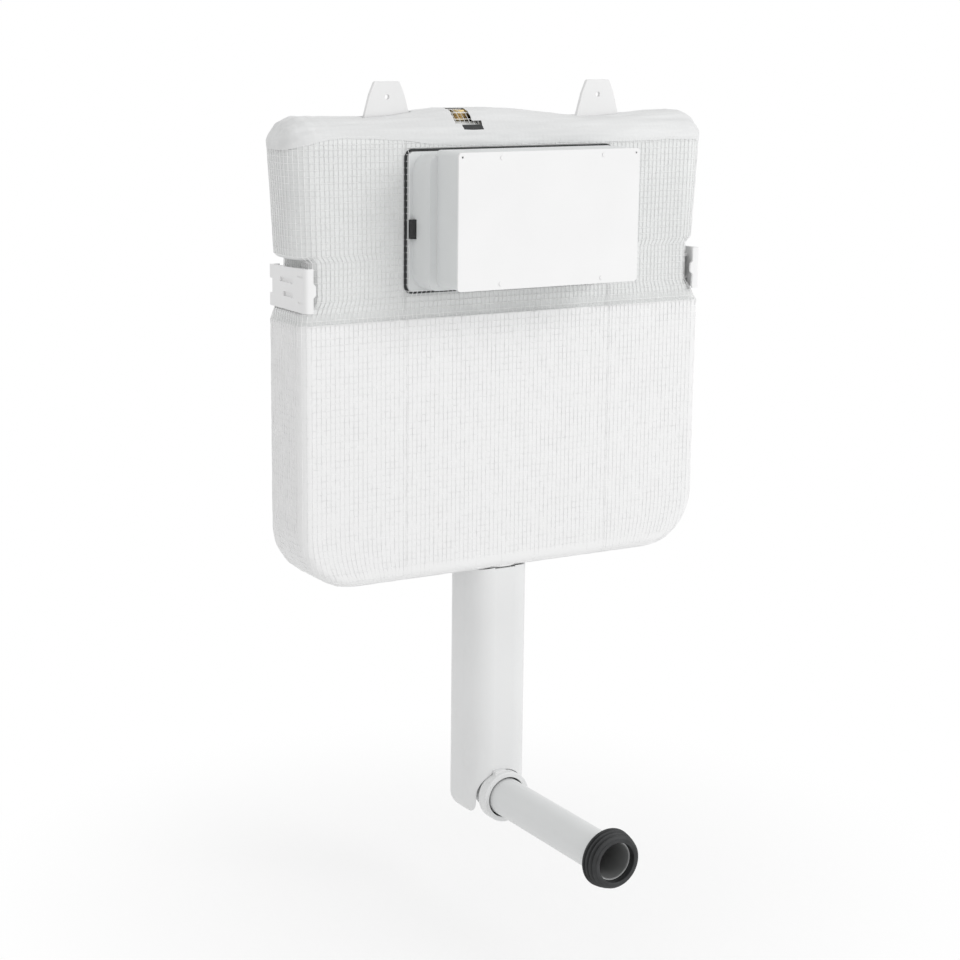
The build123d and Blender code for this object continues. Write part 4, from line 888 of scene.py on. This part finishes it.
# The nodes and pieces that wear each finish
WEARERS = {
    "tank": ("tank_body",),
    "net": ("plaster_net", "net_front_upper", "net_front_lower", "net_back_upper", "net_back_lower"),
    "fold": ("net_top_fold",),
    "bracket": ("hanger_bracket_right", "hanger_bracket_left"),
    "clip": ("side_clip_right", "side_clip_left"),
    "flange": ("access_frame",),
    "box": ("protection_box",),
    "cover": ("cover_plate", "cover_pins"),
    "casing": ("casing_front", "casing_rear", "outlet_collar"),
    "pipe": ("outlet_pipe",),
    "rubber": ("blanking_grommet", "access_gasket", "pan_seal", "ribbed_seal"),
    "soft_rubber": ("seat_washer", "flush_seal", "inlet_washer", "bend_seal", "collar_lip_seal"),
    "black": ("latch_right", "latch_left"),
    "brass": ("inlet_tail", "inlet_nut", "stop_valve", "threaded_tail"),
    "steel": ("lever_axle", "hose_nuts"),
    "braid": ("supply_hose",),
    "white": (
        "splash_plate", "actuator_frame", "valve_seat", "seat_nut", "valve_basket", "fill_valve",
        "float_cup", "flush_bend", "bend_nut",
    ),
    "grey": ("full_flush_lever", "full_lift_rod", "overflow_tube", "fill_bracket", "float_lever"),
    "blue": ("half_flush_lever", "half_lift_rod", "half_flush_float", "stop_knob"),
}
FINISH_OF = {wearer: finish for finish, wearers in WEARERS.items() for wearer in wearers}

# Nodes that get rounded edges: node, edge share of the moulded edge, record slot
ROUNDED = (
    ("hanger_bracket_right", 1.0, "bracket"),
    ("hanger_bracket_left", 1.0, "bracket"),
    ("side_clip_right", 0.8, "clip"),
    ("side_clip_left", 0.8, "clip"),
    ("protection_box", 1.4, "box"),
    ("access_frame", 1.2, "frame"),
    ("cover_plate", 1.0, "cover"),
    ("latch_right", 0.6, "black_plastic"),
    ("latch_left", 0.6, "black_plastic"),
    ("outlet_collar", 1.0, "casing"),
    ("outlet_pipe", 0.8, "pipe"),
    ("blanking_grommet", 1.2, "rubber"),
)


# Camera, lamps and floor
CAMERA_DEGREES = (-30.92, 12.38, 0.65)
CAMERA_PLACE = (-1.1290, -1.8673, 0.0864)
FOCAL_PIXELS, PICTURE_PIXELS, SENSOR = 2157, 960, 36
FLOOR_SIZE, FLOOR_BACK, FLOOR_DROP = 14, 2, 0.09
FLOOR_TONE = 0.95
FADE_START, FADE_END, FADE_LEAST = 0.15, 0.6, 0.6
KEY_SIZE, KEY_ENERGY = 1.9, 30
KEY_PLACE, KEY_AIM = (1.7, -2.6, 1.2), (0, 0, -0.3)
SURROUND_LIGHT = 0.78

# The inlet tail: its thread's outside, bore, flange, chamfers, and the crest's share of the pitch
THREAD_OUTSIDE, TAIL_BORE = 10.48 * MM, 7.5 * MM
TAIL_FLANGE, FLANGE_CHAMFER, THREAD_GAP = 1.5 * MM, 0.3 * MM, 0.5 * MM
THREAD_CHAMFER, BORE_CHAMFER = 0.8 * MM, 0.5 * MM
CREST_START, CREST_END = 0.42, 0.58

# The pan seal: its bore, the core between its lips, and the lips' tips from its back to its front
SEAL_BORE, SEAL_CORE = 20.06 * MM, 24.2 * MM
LIP_TIPS = (30.0 * MM, 29.4 * MM, 28.4 * MM, 27.0 * MM)
# One lip: what its radius is taken from, how far off in millimetres, and the share of its length
LIP_OUTLINE = (
    ("core", 0.4, 0.1), ("tip", -1.4, 0.02), ("tip", -0.45, 0.06), ("tip", 0.0, 0.2),
    ("tip", -0.15, 0.34), ("tip", -1.1, 0.46), ("core", 0.9, 0.62), ("core", 0.0, 0.78),
    ("core", 0.1, 0.95),
)
# The seal's front end: the radius, how far off in millimetres, and how far behind the front
SEAL_FRONT = (("core", -0.3, 0.2), ("core", -1.2, 0.0), ("bore", 0.9, 0.0), ("bore", 0.2, 0.5))


def body_of_node(node):
    """The name of the body that carries a node."""
    bodies = frame["record"]["behaviour"]["bodies"]
    return next(name for name, nodes in bodies.items() if node in nodes)


class CISTERN_OT_camera(bpy.types.Operator):
    """Place the camera at the photograph's viewing angle"""

    bl_idname = "cistern.camera"
    bl_label = "Camera"

    def execute(self, context):
        azimuth, elevation, roll = (math.radians(a) for a in CAMERA_DEGREES)
        back = Vector((
            math.sin(azimuth) * math.cos(elevation),
            -math.cos(azimuth) * math.cos(elevation),
            math.sin(elevation),
        ))
        right = Vector((math.cos(azimuth), math.sin(azimuth), 0))
        up = back.cross(right)
        side = right * math.cos(roll) + up * math.sin(roll)
        top = up * math.cos(roll) - right * math.sin(roll)
        data = bpy.data.cameras.new("photo_camera")
        data.sensor_width = SENSOR
        data.lens = FOCAL_PIXELS / PICTURE_PIXELS * data.sensor_width
        data.clip_start, data.clip_end = 0.1, 50
        camera = bpy.data.objects.new("photo_camera", data)
        context.collection.objects.link(camera)
        turn = Matrix((side, top, back)).transposed().to_4x4()
        camera.matrix_world = Matrix.Translation(CAMERA_PLACE) @ turn
        context.scene.camera = camera
        return {"FINISHED"}


class CISTERN_OT_net(bpy.types.Operator):
    """Make the plaster net as real strands over the tank"""

    bl_idname = "cistern.net"
    bl_label = "Plaster net"

    def execute(self, context):
        sizes = context.scene.cistern_sizes
        net = sleeve(sizes)
        for name, keep in NET_PARTS.items():
            strand = sizes.strand * (1.0 if "upper" in name else sizes.low_strand_share)
            part, cloth = part_of_net(net, name, keep, strand)
            ride_and_name(part, "root", "net", "plaster_net")
        bpy.data.objects.remove(net)
        fold = top_fold(sizes)
        ride_and_name(fold, "root", "net", "plaster_net")
        return {"FINISHED"}


class CISTERN_OT_inlet(bpy.types.Operator):
    """Turn the brass inlet tail with its thread"""

    bl_idname = "cistern.inlet"
    bl_label = "Inlet tail"

    def execute(self, context):
        sizes = context.scene.cistern_sizes
        centre = Vector(((TAIL_LOW.x + TAIL_HIGH.x) / 2, (TAIL_LOW.y + TAIL_HIGH.y) / 2, TAIL_LOW.z))
        reach = TAIL_HIGH.z - TAIL_LOW.z
        flange = (TAIL_HIGH.x - TAIL_LOW.x) / 2
        root = THREAD_OUTSIDE - sizes.thread_depth
        seat = WASHER_HIGH.z - TAIL_LOW.z
        rim = seat + TAIL_FLANGE
        base = rim + THREAD_GAP
        profile = [(TAIL_BORE, 0.0), (THREAD_OUTSIDE, 0.0), (THREAD_OUTSIDE, seat), (flange, seat)]
        profile += [(flange, rim - FLANGE_CHAMFER), (flange - FLANGE_CHAMFER, rim), (root, rim)]
        turns = int((reach - base - THREAD_CHAMFER) / sizes.thread_pitch)
        for n in range(turns):
            low = base + n * sizes.thread_pitch
            profile += [
                (root, low),
                (THREAD_OUTSIDE, low + sizes.thread_pitch * CREST_START),
                (THREAD_OUTSIDE, low + sizes.thread_pitch * CREST_END),
            ]
        profile += [(root, reach - THREAD_CHAMFER), (root, reach)]
        profile += [(TAIL_BORE + BORE_CHAMFER, reach), (TAIL_BORE, reach - BORE_CHAMFER)]
        tail = turned("threaded_tail", profile, centre, (0, 0, 1), sizes.lathe_steps)
        smooth(tail, degrees=25)
        ride_and_name(tail, "root", "brass", "inlet_tail")
        return {"FINISHED"}


class CISTERN_OT_pan_seal(bpy.types.Operator):
    """Turn the ribbed pan seal"""

    bl_idname = "cistern.pan_seal"
    bl_label = "Pan seal"

    def execute(self, context):
        sizes = context.scene.cistern_sizes
        middle = (SEAL_LOW + SEAL_HIGH) / 2
        centre = Vector((middle.x, SEAL_HIGH.y, middle.z))
        reach = SEAL_HIGH.y - SEAL_LOW.y
        step = reach / len(LIP_TIPS)
        profile = [(SEAL_BORE, 0.0)]
        for n, tip in enumerate(LIP_TIPS):
            radii = {"core": SEAL_CORE, "tip": tip}
            for edge, off, share in LIP_OUTLINE:
                profile.append((radii[edge] + off * MM, n * step + share * step))
        radii = {"core": SEAL_CORE, "bore": SEAL_BORE}
        profile += [(radii[edge] + off * MM, reach - behind * MM) for edge, off, behind in SEAL_FRONT]
        seal = turned("ribbed_seal", profile, centre, (0, -1, 0), sizes.lathe_steps)
        smooth(seal, degrees=48)
        ride_and_name(seal, "outlet", "rubber", "pan_seal")
        return {"FINISHED"}


class CISTERN_OT_mouldings(bpy.types.Operator):
    """Round the edges of the mouldings that show"""

    bl_idname = "cistern.mouldings"
    bl_label = "Rounded mouldings"

    def execute(self, context):
        sizes = context.scene.cistern_sizes
        for node, share, slot in ROUNDED:
            rounded_copy(node, sizes.edge * share, node + "_moulding", body_of_node(node), slot)
        return {"FINISHED"}


class CISTERN_OT_finishes(bpy.types.Operator):
    """Give every piece and node its finish"""

    bl_idname = "cistern.finishes"
    bl_label = "Finishes"

    def execute(self, context):
        made = finishes(context.scene.cistern_colours)
        wanted = dict(FINISH_OF)
        wanted.update({node + "_moulding": FINISH_OF[node] for node, _, _ in ROUNDED})
        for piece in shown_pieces():
            finish = made[wanted[piece.name]]
            piece.data.materials.clear()
            piece.data.materials.append(finish)
        for thing in frame["nodes"].values():
            if thing.hide_render:
                continue
            smooth(thing, degrees=30)
        return {"FINISHED"}


class CISTERN_OT_stage(bpy.types.Operator):
    """Make the floor, the world and the lamps"""

    bl_idname = "cistern.stage"
    bl_label = "Stage"

    def execute(self, context):
        bpy.ops.object.select_all(action="DESELECT")
        place = (0, FLOOR_BACK, CAD_BOX[0].z - FLOOR_DROP)
        bpy.ops.mesh.primitive_plane_add(size=FLOOR_SIZE, location=place)
        floor = context.active_object
        floor.name = "floor"
        bpy.ops.object.transform_apply(location=True)
        floor.data.materials.append(self.floor_paint())
        floor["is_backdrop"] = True
        self.make_world(context)
        key = bpy.data.lights.new("key", "AREA")
        key.shape = "DISK"
        key.size = KEY_SIZE
        key.energy = KEY_ENERGY
        lamp = bpy.data.objects.new("key", key)
        context.collection.objects.link(lamp)
        lamp.location = KEY_PLACE
        lamp.rotation_euler = (Vector(KEY_AIM) - lamp.location).to_track_quat("-Z", "Y").to_euler()
        context.scene.view_settings.view_transform = "Standard"
        return {"FINISHED"}

    def floor_paint(self):
        """Pale paint under the object that fades into the white surround for the camera."""
        paint = Finish("pale_floor", (FLOOR_TONE, FLOOR_TONE, FLOOR_TONE), 0.9)
        paint.vary(paint.noise(3), 0.99, 1.0)
        nodes, links = paint.nodes, paint.links
        glow = nodes.new("ShaderNodeEmission")
        level = nodes.new("ShaderNodeVectorMath")
        level.operation = "MULTIPLY"
        level.inputs[1].default_value = (1, 1, 0)
        links.new(paint.place, level.inputs[0])
        reach = nodes.new("ShaderNodeVectorMath")
        reach.operation = "LENGTH"
        links.new(level.outputs["Vector"], reach.inputs[0])
        fade = nodes.new("ShaderNodeMapRange")
        fade.interpolation_type = "SMOOTHSTEP"
        fade.inputs["From Min"].default_value = FADE_START
        fade.inputs["From Max"].default_value = FADE_END
        fade.inputs["To Min"].default_value = FADE_LEAST
        links.new(reach.outputs["Value"], fade.inputs["Value"])
        seen = self.seen_by_camera(nodes, links)
        amount = nodes.new("ShaderNodeMath")
        amount.operation = "MULTIPLY"
        links.new(fade.outputs["Result"], amount.inputs[0])
        links.new(seen, amount.inputs[1])
        mix = nodes.new("ShaderNodeMixShader")
        links.new(amount.outputs["Value"], mix.inputs["Fac"])
        links.new(paint.shader.outputs["BSDF"], mix.inputs[1])
        links.new(glow.outputs["Emission"], mix.inputs[2])
        links.new(mix.outputs["Shader"], nodes["Material Output"].inputs["Surface"])
        return paint.material

    def seen_by_camera(self, nodes, links):
        """One for a ray from the camera, also after a mirror or glass, and zero for other light."""
        path = nodes.new("ShaderNodeLightPath")
        seen = path.outputs["Is Camera Ray"]
        for name in ("Is Glossy Ray", "Is Transmission Ray"):
            either = nodes.new("ShaderNodeMath")
            either.operation = "MAXIMUM"
            links.new(seen, either.inputs[0])
            links.new(path.outputs[name], either.inputs[1])
            seen = either.outputs["Value"]
        return seen

    def make_world(self, context):
        """A white surround for the camera and a softer one for the light."""
        world = bpy.data.worlds.new("studio")
        world.use_nodes = True
        context.scene.world = world
        nodes, links = world.node_tree.nodes, world.node_tree.links
        soft = nodes["Background"]
        soft.inputs["Color"].default_value = (1, 1, 1, 1)
        soft.inputs["Strength"].default_value = SURROUND_LIGHT
        white = nodes.new("ShaderNodeBackground")
        white.inputs["Color"].default_value = (1, 1, 1, 1)
        white.inputs["Strength"].default_value = 1.0
        mix = nodes.new("ShaderNodeMixShader")
        links.new(self.seen_by_camera(nodes, links), mix.inputs["Fac"])
        links.new(soft.outputs["Background"], mix.inputs[1])
        links.new(white.outputs["Background"], mix.inputs[2])
        links.new(mix.outputs["Shader"], nodes["World Output"].inputs["Surface"])


OPERATORS = (
    CISTERN_OT_camera,
    CISTERN_OT_mouldings,
    CISTERN_OT_inlet,
    CISTERN_OT_pan_seal,
    CISTERN_OT_net,
    CISTERN_OT_finishes,
    CISTERN_OT_stage,
)


class CISTERN_PT_sidebar(bpy.types.Panel):
    """Lists the steps, sizes and colours"""

    bl_idname = "CISTERN_PT_sidebar"
    bl_label = "Concealed cistern"
    bl_space_type = "VIEW_3D"
    bl_region_type = "UI"
    bl_category = "Cistern"

    def draw(self, context):
        for group in (context.scene.cistern_sizes, context.scene.cistern_colours):
            for name in group.__annotations__:
                self.layout.prop(group, name)
        for operator in OPERATORS:
            self.layout.operator(operator.bl_idname)


CLASSES = (CisternSizes, CisternColours, *OPERATORS, CISTERN_PT_sidebar)


def register():
    """Registers the classes and the scene's settings."""
    for made in CLASSES:
        bpy.utils.register_class(made)
    bpy.types.Scene.cistern_sizes = PointerProperty(type=CisternSizes)
    bpy.types.Scene.cistern_colours = PointerProperty(type=CisternColours)


def unregister():
    """Removes the scene's settings and the classes."""
    del bpy.types.Scene.cistern_colours
    del bpy.types.Scene.cistern_sizes
    for made in reversed(CLASSES):
        bpy.utils.unregister_class(made)


def main():
    """Builds the whole scene."""
    register()
    for operator in OPERATORS:
        step = getattr(bpy.ops.cistern, operator.bl_idname.split(".")[1])
        step()


if __name__ == "__main__":
    main()
